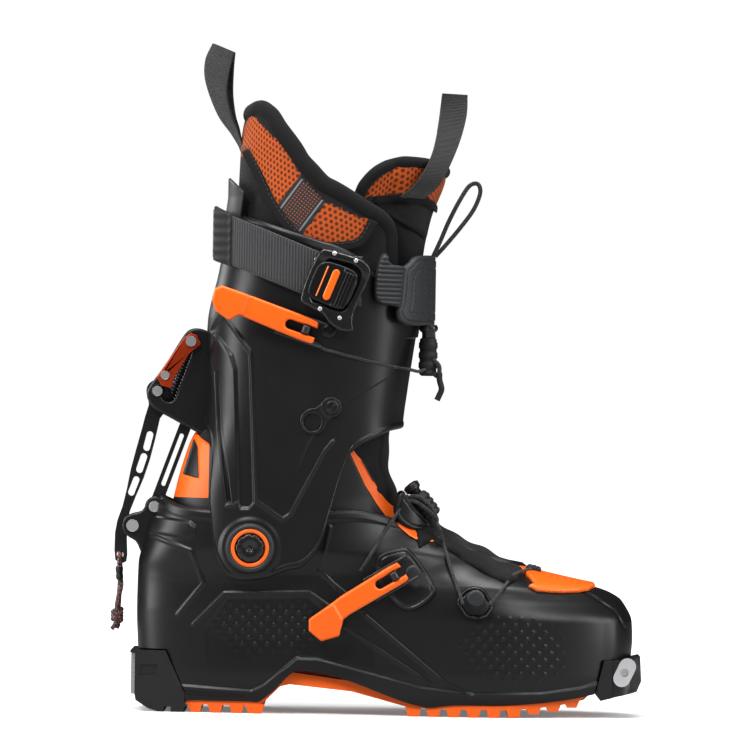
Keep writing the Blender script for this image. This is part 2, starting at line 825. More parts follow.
def liner_cloth():
    """Dark knit, orange spacer mesh, dotted label band and stitched binding, chosen by
    signed distances kept on the vertices (mm)."""
    sh = Shader("liner_cloth")
    x, z = sh.side_mm()
    y = sh.y_mm()
    knit = sh.knit(x, y, z, 0.9)
    tone = sh.noise(scale=26, detail=5, rough=0.6)
    fuzz = sh.noise(scale=1100, detail=2)
    knit_colour = sh.mix(tone, (0.008, 0.008, 0.009), (0.017, 0.017, 0.019))
    knit_colour = sh.mix(sh.half(knit, amount=0.25), knit_colour, (0.028, 0.028, 0.030))
    # distance along the girth stands in for x at the back and at the shin
    girth = sh.mul(sh.abs(y), sh.math("SIGN", sh.sub(33.0, x)))
    lay = sh.add(x, girth)
    cos, sin = math.cos(math.radians(38)), math.sin(math.radians(38))   # lay of the mesh
    u = sh.add(sh.mul(lay, cos), sh.mul(z, sin))
    v = sh.sub(sh.mul(z, cos), sh.mul(lay, sin))
    hole, hole_dist = sh.hex_holes(u, v, pitch=3.5, radius=0.30, soft=0.07)
    pore, _ = sh.hex_holes(u, v, pitch=0.78, radius=0.26, soft=0.12)
    mesh_colour = sh.mix(sh.noise(scale=55, detail=4, rough=0.6),
                         (0.92, 0.155, 0.006), (1.0, 0.22, 0.014))
    mesh_colour = sh.mix(sh.mul(pore, 0.4), mesh_colour, (0.50, 0.06, 0.004))
    mesh_colour = sh.mix(sh.mul(hole, 0.9), mesh_colour, (0.16, 0.02, 0.003))
    mesh_height = sh.sub(sh.mul(hole_dist, 1.1), sh.mul(pore, 0.16))
    in_mesh = sh.below(sh.attr("sd_mesh"), 0.0, soft=0.35)
    # label band: two light lines and rows of dots
    in_label = sh.below(sh.attr("sd_label"), 0.0, soft=0.25)
    label_u, label_v = sh.attr("lab_u"), sh.attr("lab_v")
    dot = sh.length(sh.cell(label_u, 1.75), sh.cell(label_v, 1.75))
    middle = sh.below(sh.abs(label_u), 6.6, soft=0.2)
    dots = sh.mul(sh.below(dot, 0.22, soft=0.07), middle)
    lines = sh.below(sh.abs(sh.sub(sh.abs(label_u), 8.3)), 0.45, soft=0.12)
    label_rib = sh.wave(label_v, 0.6)
    label_colour = sh.mix(sh.half(label_rib), (0.035, 0.035, 0.037), (0.07, 0.07, 0.073))
    label_colour = sh.mix(dots, label_colour, (0.80, 0.22, 0.06))
    label_colour = sh.mix(lines, label_colour, (0.45, 0.45, 0.46))
    # binding: dark woven tape with stitches
    in_bind = sh.below(sh.attr("sd_bind"), 0.0, soft=0.3)
    bind_u, bind_dist = sh.attr("bind_u"), sh.attr("sd_bindc")
    thread = sh.mul(sh.below(sh.abs(sh.cell(bind_u, 2.6)), 0.30, soft=0.06),
                    sh.below(sh.abs(sh.sub(bind_dist, 1.2)), 0.28, soft=0.1))
    weave = sh.wave(sh.add(u, v), 0.7)
    bind_colour = sh.mix(sh.half(weave), (0.010, 0.010, 0.011), (0.030, 0.030, 0.032))
    bind_colour = sh.mix(thread, bind_colour, (0.06, 0.06, 0.063))
    colour = sh.mix(in_mesh, knit_colour, mesh_colour)
    colour = sh.mix(in_label, colour, label_colour)
    colour = sh.mix(in_bind, colour, bind_colour)
    height = sh.add(sh.mul(knit, 0.25), sh.mul(fuzz, 0.4))
    height = sh.mix_value(in_mesh, height, mesh_height)
    height = sh.mix_value(in_label, height, sh.add(sh.mul(label_rib, 0.12), sh.mul(dots, 0.3)))
    height = sh.mix_value(in_bind, height, sh.add(sh.mul(weave, 0.2), sh.mul(thread, 0.5)))
    sh.set(Base_Color=colour, Roughness=sh.mix_value(in_mesh, 0.72, 0.6),
           Normal=sh.bump(height, strength=0.8, dist=0.0007),
           Sheen_Weight=0.08, Specular_IOR_Level=0.25, Sheen_Roughness=0.4)
    return sh.material


def braided_cord(name="cord", base=(0.014, 0.013, 0.013), fleck=(0.55, 0.08, 0.05),
                 pale=(0.3, 0.3, 0.3), radius=1.2, amount=0.16):
    """Braid of crossing strands; amount is the share of flecked ones."""
    pitch, strands = 1.7, 4
    sh = Shader(name)
    parts = sh.split(sh.coord("UV"))
    u, v = parts[0], parts[1]

    def lay(op):
        return sh.math(op, sh.mul(u, TURN/pitch), sh.mul(v, strands*TURN/(TURN*radius)))
    a, b = lay("ADD"), lay("SUBTRACT")
    height = sh.mul(sh.sine(a), sh.sine(b))
    random = sh.node("ShaderNodeTexWhiteNoise", noise_dimensions="2D")
    crossing = sh.node("ShaderNodeCombineXYZ")
    sh.feed(sh.math("FLOOR", sh.div(a, math.pi)), crossing.inputs[0])
    sh.feed(sh.math("FLOOR", sh.div(b, math.pi)), crossing.inputs[1])
    sh.feed(crossing.outputs[0], random.inputs["Vector"])
    flecked = sh.math("LESS_THAN", random.outputs["Value"], amount)
    is_pale = sh.math("GREATER_THAN", random.outputs["Value"], 1 - amount*0.8)
    colour = sh.mix(sh.abs(height), base, scaled(base, 2.6))
    colour = sh.mix(flecked, colour, fleck)
    colour = sh.mix(is_pale, colour, pale)
    sh.set(Base_Color=colour, Roughness=0.75, Sheen_Weight=0.2,
           Normal=sh.bump(sh.abs(height), strength=0.8, dist=0.0004))
    return sh.material


def collar_two_tone():
    """Orange inside sd_orange, black elsewhere and in the window sd_win."""
    sh = Shader("collar_two_tone")
    orange = sh.below(sh.attr("sd_orange"), 0.0, soft=0.12)
    window = sh.below(sh.attr("sd_win"), 0.0, soft=0.12)
    amount = sh.mul(orange, sh.sub(1.0, window))
    tone = sh.noise(scale=40, detail=5, rough=0.6)
    grain = sh.noise(scale=1500, detail=2)
    bright = sh.mix(tone, (0.82, 0.138, 0.006), (0.92, 0.165, 0.010))
    black = sh.mix(tone, (0.006, 0.0061, 0.0066), (0.011, 0.0112, 0.012))
    sh.set(Base_Color=sh.mix(amount, black, bright), Roughness=sh.mix_value(tone, 0.38, 0.5),
           Normal=sh.bump(grain, strength=0.15, dist=0.00015))
    return sh.material


SHELL = shell_plastic()
SHELL_DARK = shell_plastic("shell_plastic_dark", base=(0.0045, 0.0046, 0.005), rough=0.33)
GREY = shell_plastic("grey_plastic", base=(0.026, 0.027, 0.029), rough=0.42)
GLOSS = gloss_black()
ORANGE = orange_plastic()
SOLE_RUBBER = orange_rubber()
RUBBER = black_rubber()
STEEL = steel()
BRIGHT = steel("bright_steel", base=(0.78, 0.78, 0.79), rough=0.16)
RUST = coloured_metal("rust_anodised", base=(0.52, 0.062, 0.012), rough=0.36)
DARK_METAL = coloured_metal("dark_metal", base=(0.07, 0.07, 0.075), rough=0.34)
WEB = webbing()
WEB_BLACK = webbing("webbing_black", base=(0.007, 0.007, 0.008), rib=(0.022, 0.022, 0.024),
                    pitch=1.0)
CLOTH = fabric()
GAITER = fabric("gaiter_cloth", dark=(0.010, 0.010, 0.011), light=(0.022, 0.022, 0.024),
                pitch=0.8)
LINER = liner_cloth()
CORD = braided_cord()
THIN_CORD = braided_cord("thin_cord", base=(0.012, 0.012, 0.013), fleck=(0.05, 0.05, 0.05),
                         pale=(0.08, 0.08, 0.08), radius=0.9, amount=0.1)
FELT = fabric("felt", dark=(0.30, 0.06, 0.02), light=(0.5, 0.12, 0.04), pitch=1.6)
COLLAR = collar_two_tone()
ROLLED_CLOTH = fabric("rolled_edge_cloth", dark=(0.008, 0.0082, 0.009),
                      light=(0.018, 0.0184, 0.020), pitch=0.7)
TAPE = fabric("binding_tape", dark=(0.006, 0.006, 0.007), light=(0.016, 0.016, 0.0175),
              pitch=1.3)
THREAD = fabric("thread", dark=(0.05, 0.05, 0.052), light=(0.11, 0.11, 0.115), pitch=0.5)
THREAD_WHITE = fabric("thread_white", dark=(0.62, 0.62, 0.6), light=(0.85, 0.85, 0.82),
                      pitch=0.5)
GREY_RUBBER = shell_plastic("grey_rubber", base=(0.030, 0.0315, 0.034), rough=0.5)
SPRING_STEEL = steel("spring_steel", base=(0.23, 0.23, 0.24), rough=0.3)


def refinish(node, mat, bevel, segments=2):
    """Keeps a CAD piece, with softened edges and a new material."""
    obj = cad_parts[node]
    obj.data.materials.clear()
    obj.data.materials.append(mat)
    add_mod(obj, "WELD", merge_threshold=0.00001)
    add_mod(obj, "BEVEL", width=bevel*MM, segments=segments, limit_method="ANGLE",
            angle_limit=math.radians(38), use_clamp_overlap=True)
    add_mod(obj, "WEIGHTED_NORMAL", keep_sharp=False, weight=60)


# ---------------------------------------------------------------- body surfaces
# Each body is a stack of superellipse rings. Tables are (z, value) unless noted.
CLOG_REAR = curve([(6,-62),(20,-64),(36,-65.5),(60,-66.5),(85,-66),(100,-62.5),(112,-58),
                   (124,-54)])
CLOG_FRONT = curve([
    (6,205),(12,214),(20,219),(30,221.5),(45,223),(55,222.6),(62,220.5),(68,217),(72,211),
    (75,203),(77,193),(80,179),(84,162),(88,150),(93.6,139),(98,128.5),(105,115),(112,106),
    (124,95)])
CLOG_WIDTH = curve([(6,0.86),(14,0.96),(25,1),(60,1),(80,0.99),(96,1.06),(124,1.04)])
CLOG_FRONT_POWER = curve([(6,3.4),(55,3.3),(66,2.6),(76,2.2),(96,2.0),(124,2.1)])
CLOG_REAR_POWER = curve([(60,3.4),(110,2.7)])
# over x: half width, sideways shift of the centre line (faded out over z)
PLAN_WIDTH = curve([(-70,35),(-30,38),(10,39),(50,40),(90,44),(130,49.5),(150,50.5),(180,49),
                    (205,46),(225,43)])
PLAN_SHIFT = curve([(-70,0),(60,0),(150,1.5),(190,3),(225,3.5)])
SHIFT_FADE = curve([(70,1),(90,0)])
# over x: height of the clog's outer bottom and of its inner floor
CLOG_UNDERSIDE = curve([(-70,7.6),(6,7.6),(12,13),(28.5,28.4),(100,9.4),(112,7.6),(150,7.6),
                        (170,9),(190,12),(200,14.6),(225,20)])
CLOG_FLOOR = curve([(-70,21),(6,21),(20,31),(40,30.5),(100,15),(150,12),(185,15.5),(196,20),
                    (203,40),(225,42)])
# over the angle from the front, 0 to 180 degrees
CLOG_TOP = curve([(0,84),(12,85),(20,92),(30,103),(42,112),(60,117),(90,115),(130,117),
                  (160,122),(180,124)])


def signed_power(c, p):
    return np.sign(c)*np.abs(c)**p


def cap(u, power):
    """Half width of a unit superellipse at u"""
    return np.maximum(0, 1 - np.minimum(1, np.abs(u))**power)**(1/power)


def fold(angle):
    """Degrees from the front, 0 to 180, the same on both sides"""
    return np.abs(((angle + 180) % 360) - 180)


def spread(angle, z):
    return np.broadcast_to(np.asarray(z, float), np.shape(angle)).astype(float)


def side_sign(angle):
    return np.where(np.sin(angle) < 0, -1, 1)


def clog_point(angle, z, inset):
    angle = np.radians(angle)
    z = spread(angle, z)
    high = z > 58
    rear = CLOG_REAR(z) + inset
    front = CLOG_FRONT(z + np.where(high, 0.9*inset, 0)) - np.where(high, 0.45, 1)*inset
    middle = rear + 0.45*(front - rear)
    cos = np.cos(angle)
    ahead = cos >= 0
    reach = np.where(ahead, front - middle, middle - rear)
    power = np.where(ahead, CLOG_FRONT_POWER(z), CLOG_REAR_POWER(z))
    c = signed_power(cos, 2/power)
    x = middle + reach*c
    width = (PLAN_WIDTH(x)*CLOG_WIDTH(z) - inset)*cap(c, power)
    return np.stack([x, side_sign(angle)*width + PLAN_SHIFT(x)*SHIFT_FADE(z), z], -1)


def mid_half(rear, front):
    """Middle and half length between two x stations"""
    return (rear + front)/2, (front - rear)/2


def oval(angle, rear, front, half_width, power):
    """x and y on a superellipse; angle in degrees from the front"""
    angle = np.radians(angle)
    middle, half = mid_half(rear, front)
    c = signed_power(np.cos(angle), 2/power)
    return middle + half*c, side_sign(angle)*half_width*cap(c, power)


CUFF_REAR = curve([
    (78,-38),(120,-38),(150,-33),(163,-30),(174,-28.5),(190,-28.2),(211,-28.2),(228,-27.6),
    (240,-25.6),(252,-22.5),(285,-17),(300,-15)])
CUFF_FRONT = curve([(78,88),(150,87),(168,87.5),(190,90),(211,93),(240,97.2),(252,98.5),
                    (300,106)])
CUFF_WIDTH = curve([(78,47.2),(130,47.2),(160,48),(200,50),(240,51.4),(290,53)])
CUFF_POWER = curve([(100,3),(160,2.7),(240,2.4)])


def cuff_point(angle, z, inset):
    z = spread(angle, z)
    x, y = oval(angle, CUFF_REAR(z) + inset, CUFF_FRONT(z) - inset, CUFF_WIDTH(z) - inset,
                CUFF_POWER(z))
    return np.stack([x, y, z], -1)


SOFT_POWER = 2.3    # superellipse power of the collar and the liner
COLLAR_REAR = curve([(100,-53),(112,-51),(129,-47.5),(146,-43),(163,-36),(169,-27.5),(180,-26)])
COLLAR_FRONT = curve([(100,106),(108,97),(118,90),(128,85.5),(145,84.5),(160,84),(180,85)])


def collar_point(angle, z, inset, half_width):
    z = spread(angle, z)
    x, y = oval(angle, COLLAR_REAR(z) + inset, COLLAR_FRONT(z) - inset, half_width - inset,
                SOFT_POWER)
    return np.stack([x, y, z], -1)


LINER_REAR = curve([(178,-23.8),(211,-23.6),(228,-23),(252,-18),(285,-12.6),(322,-11),
                    (335,-10.5),(353,-7)])
LINER_FRONT = curve([(178,84),(211,88.5),(240,92.5),(260,94),(353,98)])
LINER_WIDTH = curve([(178,44.8),(200,45.4),(240,46.8),(290,48.4),(353,47)])


def liner_point(angle, z, inset):
    z = spread(angle, z)
    x, y = oval(angle, LINER_REAR(z) + inset, LINER_FRONT(z) - inset, LINER_WIDTH(z) - inset,
                SOFT_POWER)
    return np.stack([x, y, z], -1)


def strap_z(x):
    """Height of the strap's middle line"""
    return 276 - (x + 18)*math.tan(math.radians(STRAP_TILT))


def strap_point(angle, v, outset):
    """v runs from 0 at the lower edge to 1 at the upper edge"""
    x, y = oval(angle, -23.5 - outset, 99.8 + outset, 54.2 + outset, 2.35)
    return np.stack([x, y, np.maximum(238, strap_z(x) - 13.5) + 27*v], -1)


# ---------------------------------------------------------------- lower shell
def relief(x, z, entries):
    """Raised or cut lines; entries: (points, half width, height). The largest wins."""
    d = np.zeros(np.shape(x))
    for pts, half_width, height in entries:
        k = height*along(x, z, pts, -half_width, 0)
        d = np.where(np.abs(k) > np.abs(d), k, d)
    return d


def studs(x, z, field, pitch_x, pitch_z, radius, height, fade=9.0):
    """Staggered round studs inside a field, lower towards its outline."""
    base_z = field[0][1]
    row = np.round((z - base_z)/pitch_z)
    shift = np.where(np.mod(row, 2) == 0, 0.0, pitch_x/2)
    cx = np.round((x - shift)/pitch_x)*pitch_x + shift
    cz = base_z + row*pitch_z
    bump = ease(-np.hypot(x - cx, (z - cz)*1.1), -radius, -0.15*radius)
    f = inside(cx, cz, field, 0, fade)
    return height*bump*(0.25 + 0.75*f)*(f > 0.001)


HEEL_STUDS = [(-27,52),(-13,67),(34,68),(47,57),(42,44),(30,36),(4,33),(-8,36)]
TOE_STUDS = [(121,46),(133,58),(150,62),(172,58),(184,44),(186,28),(172,17),(140,17),(124,30)]
SOLE_LEDGE = [
    (-72,17),(-37.8,15.8),(2.1,13.5),(9,17),(27.6,32.7),(40,32.4),(99.9,17.4),(130,14.0),
    (170,15),(192,18),(206,22),(240,24),(240,-20),(-72,-20)]
HEEL_BAND = [(-70,113.5),(-51,112.5),(-35,110.5),(-32.5,108),(-32.5,103.5),(-35,101),(-58,104),
             (-70,105)]
SIDE_PANEL = [(-26,50),(-13,68.2),(34.6,69.4),(48,58),(62,49),(74,40),(74,28),(30,34),(26,30),
              (10,20),(-24,22)]
# (points, half width, height)
CLOG_LINES = [
    ([(-59.7,102.8),(-34.4,93.8),(-27,75.2),(-41.4,56.8)], 1.9, 0.8),
    ([(-32.5,51.1),(-14.6,69.5),(34.6,70.9),(52,59)], 1.6, 0.75),
    ([(-51.2,119.3),(-27.7,115.6)], 1.3, 0.6),
    ([(54.8,51.8),(105.7,19.2)], 1.5, 0.65),
    ([(67,58.5),(114.5,19.4),(129.2,13.8)], 1.5, 0.75),
    ([(46,109),(41,84),(50.5,74)], 1.6, 0.6),
    ([(39.7,83.3),(55.1,71.2),(66,60)], 1.5, 0.6)]
TOE_CREASE = [(186,76.5),(199,71.2),(212,62.5),(218,52)]
# side outlines cut square through the shell for the toe and heel blocks
BLOCK_SEATS = (
    [(196.5,-5),(201.0,14.0),(205.6,34.0),(222,34.0),(228.5,38.5),(240,39),(240,-5)],
    [(-80,-5),(-80,36.4),(-48.0,36.4),(-36.8,12),(-36.8,-5)])
CHEEK = smooth_loop([
    (-60,86),(-64.6,92),(-67,98.4),(-72.5,101),(-75.6,104.5),(-75.4,110.6),(-72,114),
    (-65,115.4),(-62.6,118),(-61.6,122),(-58.6,124.6),(-55,124.6),(-52,121.8),(-50,112),(-52,98)])
CLOG_SHELL = ("clog", "lower_shell", "shell_black")


def clog_relief(x, y, z):
    d = relief(x, z, CLOG_LINES)
    d = d - 0.7*inside(x, z, SIDE_PANEL, 0, 1.6)*ease(z, 24, 46)
    d = d + 1.3*inside(x, z, HEEL_BAND, -0.9, 0.9)
    d = d + 1.5*inside(x, z, SOLE_LEDGE, -0.7, 0.7)
    d = d - 0.9*along(x, z, [(-44,12.2),(-2,10.6)], -1.5, -0.5)
    d = d + studs(x, z, HEEL_STUDS, pitch_x=7.2, pitch_z=3.7, radius=1.55, height=0.6)
    d = d + studs(x, z, TOE_STUDS, pitch_x=7.0, pitch_z=4.0, radius=1.5, height=0.6)
    # toe bumper and a shallow crease over the toes
    d = d + 0.8*ease(x, 205, 214)*ease(z, 20, 34)*ease(-z, -66, -58)
    return d - 0.5*along(x, z, TOE_CREASE, -1.3, 0)*ease(np.abs(y), 8, 16)


def clog_rows(inset, rows, columns, bottom, probe_z):
    """bottom gives the lowest height over x, read where the ring at probe_z lies."""
    def surface(angle, s):
        low = bottom(clog_point(angle, np.full(angle.shape, probe_z), inset)[:, 0])
        return clog_point(angle, low + (CLOG_TOP(fold(angle)) - low)*s, inset)
    return rings(surface, rows, columns)


def squeezed(row, factors):
    """Copies of a ring, narrowed across the boot"""
    return [row*np.array([1, factor, 1]) for factor in factors]


def cut_block_seats(obj):
    bm = bmesh.new()
    for outline in BLOCK_SEATS:
        low, high = [[bm.verts.new((x*MM, y, z*MM)) for x, z in outline]
                     for y in (-0.075, 0.075)]
        k = len(outline)
        bm.faces.new(low)
        bm.faces.new(high[::-1])
        for i in range(k):
            bm.faces.new((low[i], low[(i+1) % k], high[(i+1) % k], high[i]))
    bmesh.ops.recalc_face_normals(bm, faces=bm.faces)
    mesh = bpy.data.meshes.new("cutter")
    bm.to_mesh(mesh)
    bm.free()
    mesh.materials.append(SHELL)
    cutter = bpy.data.objects.new("cutter", mesh)
    bpy.context.scene.collection.objects.link(cutter)
    add_mod(obj, "BOOLEAN", operation="DIFFERENCE", object=cutter, solver="EXACT")
    mesh = bake(obj)
    bpy.data.objects.remove(cutter)
    mesh.polygons.foreach_set("use_smooth", [True]*len(mesh.polygons))


def build_clog():
    n = 920
    rows = 170
    k = np.linspace(0, 1, rows)[:, None]
    outer = clog_rows(0.0, rows, n, CLOG_UNDERSIDE, 14.0)
    x, y, z = np.moveaxis(outer, -1, 0)
    # relief fades at the top, where the edge is thickened
    d = clog_relief(x, y, z)*ease(1 - k, 0.0, 0.03) + 0.55*ease(k, 0.955, 0.975)
    outer = displaced(outer, d)
    # the lower edge is let into the sole
    low = ease(-k, -0.05, 0.0)
    x = outer[..., 0]
    seat = z - 0.6 - 2.2*ease(x, -2, 22)*ease(-x, -122, -100)
    outer[..., 2] = outer[..., 2]*(1 - low) + seat*low
    inner = clog_rows(4.0, 26, n, CLOG_FLOOR, 24.0)
    grid = np.array(squeezed(outer[0], (0.02, 0.25, 0.5, 0.72, 0.88, 0.96)) + list(outer)
                    + rim_rows(outer[-1], inner[-1], np.array([0, 0, 1.0]), 6, 0.42)
                    + list(inner[::-1]) + squeezed(inner[0], (0.96, 0.7, 0.4, 0.02)))
    m = len(grid)
    faces = [(j*n + i, j*n + (i+1) % n, (j+1)*n + (i+1) % n, (j+1)*n + i)
             for j in range(m - 1) for i in range(n)]

    def sew(start, flip):
        """Faces across the width that close an end ring"""
        out = []
        for i in range(1, n//2):
            a, b, c, e = start + i, start + i + 1, start + n - i - 1, start + n - i
            out.append((a, b, e) if i == n//2 - 1 else (a, b, c, e))
        out.append((start, start + 1, start + n - 1))
        return out if flip else [face[::-1] for face in out]
    faces += sew(0, False) + sew((m-1)*n, True)
    obj = add_mesh("lower_shell_skin", grid.reshape(-1, 3), faces, SHELL)
    face_outward(obj.data)
    cut_block_seats(obj)
    split_edges(obj, 52)
    tell(obj, CLOG_SHELL)
    holes = [disc(centre, 2.55) for centre in CHEEK_HOLES]
    for side, end in SIDES:
        plate("bracket_cheek_" + end, cut(polygon(CHEEK), *holes), (-78, 84, -48, 127), 0.55,
              side_plane(side, 6.5), top=4.5, bottom=0.0, edge=0.9, mat=SHELL,
              owner=CLOG_SHELL)


build_clog()

# CAD pieces kept: name, material, bevel, bevel segments
for entry in (("outsole", SOLE_RUBBER, 0.55, 2), ("toe_sole_block", GLOSS, 0.7, 3),
              ("heel_sole_block", GLOSS, 0.8, 3), ("toe_tech_insert", BRIGHT, 0.3, 2),
              ("heel_tech_insert", STEEL, 0.3, 2), ("heel_insert_screw", BRIGHT, 0.2, 2),
              ("boot_board", GREY, 0.6, 2)):
    refinish(*entry)

# ---------------------------------------------------------------- cuff
# over the angle from the front
CUFF_BOTTOM = curve([
    (0,168.4),(30,167),(48,163),(58,159),(66,154),(72,140),(78,118),(84,97),(90,86),(98,80.5),
    (108,79),(116,80.5),(122,86),(128,97),(133,118),(140,148),(150,161),(165,168),(180,173)])
CUFF_TOP = curve([(0,236),(40,238),(70,262),(100,276),(140,286),(180,290)])
CUFF_CHANNEL = [
    (-19.5,232),(-5.4,213.3),(-2.4,209.5),(-1.6,199.3),(0.1,164.1),(2.0,122.5),(-1,119),
    (-6.3,119),(-7.9,123),(-9.7,164),(-11.4,199.1),(-14,207.4),(-26,222)]
CUFF_SLOT = [(-22.6,198.5),(-20.6,197.5),(-17.2,163.8),(-11.6,123),(-12.6,121.4),(-14.2,122.5),
             (-20.4,163.8)]
CUFF_OVERLAP = [
    (110,222),(88,219),(84,206),(78.5,196.5),(66,188.5),(52,180),(41,170),(33,158),(26,140),
    (-60,140),(-60,300),(120,300)]
# (points, half width, height)
CUFF_LINES = [
    ([(-17.8,231.2),(-4.6,213.8),(-1.6,209.8),(-0.8,199.3),(0.9,164.1),(2.7,123.9),
      (18.5,113.1),(22.9,116.1),(42.1,153),(47,159)], 1.5, 0.8),
    ([(-25.2,222.3),(-13.3,207.8),(-10.8,199.1),(-9.1,164),(-7.3,123),(-9.5,120.6),
      (-14,120.6)], 1.2, 0.55),
    ([(-23.4,219.4),(-27.3,203.5)], 1.5, -0.9),
    ([(-29,196),(-26.5,160)], 1.5, -0.7),
    ([(-30.8,197),(-28.4,160)], 1.0, 0.4)]
SPINE = smooth_loop([
    (-22,215),(-27,221.5),(-33,223.5),(-38.5,222.4),(-41.8,218.5),(-51.5,202),(-62.2,187.5),
    (-62.6,182),(-58.5,175.6),(-50,171.5),(-41,166.6),(-30,161),(-22,160)])
CUFF_SHELL = ("cuff", "cuff_shell", "shell_black")


def cuff_relief(x, y, z):
    d = -1.25*inside(x, z, CUFF_CHANNEL, -0.5, 1.1)
    d = d - 2.0*inside(x, z, CUFF_SLOT, -0.4, 0.9)
    d = d + relief(x, z, CUFF_LINES)
    # the lateral flap lies over the medial one
    d = d + 1.2*inside(x, z, CUFF_OVERLAP, -0.35, 0.35)*ease(-y, 0, 3)*ease(x, 24, 40)
    # raised flat round the pivot
    return d + 0.9*ease(-np.hypot(x, z - ANKLE_Z), -19, -15.5)


def build_cuff():
    columns = 960
    rows = 210

    def surface(inset):
        def point(angle, s):
            low, high = CUFF_BOTTOM(fold(angle)), CUFF_TOP(fold(angle))
            return cuff_point(angle, low + (high - low)*s, inset)
        return point
    outer = rings(surface(0.0), rows, columns)
    k = np.linspace(0, 1, rows)[:, None]
    height = outer[-1][None, :, 2] - outer[0][None, :, 2]
    d = cuff_relief(*np.moveaxis(outer, -1, 0))
    d = d*ease(k, 0, 0.015)*ease(1 - k, 0, 0.015)
    # thickened hems along the lower and upper edges
    d = d + 0.5*ease(-(k*height), -2.6, -1.4) + 0.6*ease(-((1 - k)*height), -4.2, -2.6)
    obj = shell("cuff_skin", displaced(outer, d), rings(surface(3.6), 30, columns), SHELL,
                CUFF_SHELL, rim=6, bulge=0.42)
    split_edges(obj, 62)
    spine = cut(polygon(SPINE), disc(SPRING_TOP, 2.15), disc(SPINE_HOLE, 2.65),
                bar((-40.2, 209.2), (-49.6, 184.2), 4.0))
    for side, end in SIDES:
        plate("cuff_spine_" + end, spine, (-64, 158, -20, 226), 0.6, side_plane(side, 7.9),
              top=3.7, bottom=0.0, edge=1.3, mat=SHELL, owner=CUFF_SHELL)


build_cuff()

# ---------------------------------------------------------------- ankle rosette
ANKLE_Y = 48.0
# profiles: (radius, height over ANKLE_Y)
ANKLE_BOSS = [(11.2,-1.5),(11.2,1.4),(11.6,1.9),(12.6,2.1),(13.4,1.8),(14.0,1.0),(14.4,-0.2),
              (14.6,-1.5)]
ANKLE_RING = [(8.7,-1.0),(8.7,1.2),(9.0,1.75),(9.6,2.0),(10.5,2.0),(11.0,1.7),(11.2,1.1),
              (11.2,-1.0)]
ANKLE_BOLT = [(0.01,1.2),(1.1,1.2),(1.5,2.1),(2.0,2.5),(5.2,2.7),(7.4,2.5),(8.0,2.1),(8.2,1.3),
              (8.2,-0.8),(5.05,-1.0),(5.05,-11.6),(0.01,-11.6)]


def bolt_flute(radius, angle):
    """Nine notches round the head"""
    return radius*(1 - 0.07*max(0, math.cos(9*angle))**3) if radius > 5.5 else radius


PIVOT_RINGS = ("cuff", "pivot_rings", "orange_plastic")
for side, end in SIDES:
    for name, profile, sides, mat, owner, flute in (
            ("ankle_boss_", ANKLE_BOSS, 96, GREY, PIVOT_RINGS, None),
            ("ankle_ring_", ANKLE_RING, 96, ORANGE, PIVOT_RINGS, None),
            ("ankle_bolt_", ANKLE_BOLT, 180, GLOSS, ("clog", "ankle_bolts", "shell_black"),
             bolt_flute)):
        lathe_y(name + end, profile, (0, ANKLE_Z), sides, side, mat, owner, ANKLE_Y, flute)

# ---------------------------------------------------------------- collar and liner ankle
# over the angle from the front
COLLAR_TOP = curve([(0,118),(20,121),(35,132),(50,148),(62,156),(75,154),(110,148),(150,157),
                    (180,163)])
COLLAR_BOTTOM = curve([(0,109),(20,108),(40,103),(180,103)])
FRONT_STRIP = [
    (57.8,161.5),(53.2,159.0),(57.5,151),(65.8,133.6),(72.5,123),(79.6,113.6),(83.5,109.5),
    (92,103),(110,100),(110,108),(96,107),(88,113),(83.5,126.5),(76,131),(70.2,136.2),(63,149)]
REAR_ORANGE = [(-60,124.5),(-25,124.5),(-25,170),(-60,170)]
REAR_WINDOW = [(-34.6,159.2),(-32.0,153.5),(-31.0,135.7),(-40.9,137.9)]


def build_collar():
    columns = 420
    rows = 90

    def surface(inset, rear_inset):
        def point(angle, s):
            low, high = COLLAR_BOTTOM(fold(angle)), COLLAR_TOP(fold(angle))
            return collar_point(angle, low + (high - low)*s,
                                inset + rear_inset*ease(fold(angle), 118, 146), 36.6)
        return point
    outer = rings(surface(1.2, 1.3), rows, columns)
    inner = rings(surface(4.0, 0.7), 20, columns)
    x, _, z = np.moveaxis(outer, -1, 0)
    orange = np.minimum(poly_dist(x, z, FRONT_STRIP), poly_dist(x, z, REAR_ORANGE))
    d = -0.9*ease(-orange, -0.4, 0.4)*(x > 0) - 1.0*inside(x, z, REAR_WINDOW, -0.3, 0.4)
    return shell(
        "ankle_collar", displaced(outer, d), inner, COLLAR,
        (None, "shell_collar", "orange_plastic"), fields={
            "sd_orange": lambda x, y, z: np.where(x > 0, poly_dist(x, z, FRONT_STRIP),
                                                  poly_dist(x, z, REAR_ORANGE)),
            "sd_win": lambda x, y, z: poly_dist(x, z, REAR_WINDOW)})


def build_flex():
    columns = 360
    rows = 90

    def surface(inset):
        return lambda angle, s: collar_point(angle, 101.5 + 77*s, inset, 36.4)
    outer = rings(surface(4.4), rows, columns)
    inner = rings(surface(11.0), 20, columns)
    x, y, z = np.moveaxis(outer, -1, 0)
    # soft folds across the front and a padded seam each side
    front = ease(x, 48, 76)
    d = front*(1.7*np.sin((z-108)/8.2 + 0.35*np.sin(y/9)) + 0.8*np.sin((z-100)/3.7 + y/13)
               + 0.5*np.sin(y/5.5 + z/17))
    d = d + 1.6*front*ease(-np.abs(z - 132), -26, 0)
    seam = np.abs(np.abs(y) - (13 + 0.05*(z - 120)))
    d = d - 1.4*front*ease(-seam, -1.6, 0)
    return shell("liner_ankle", displaced(outer, d), inner, CLOTH,
                 (None, "liner_flex", "liner_fabric"))


collar = build_collar()
flex = build_flex()


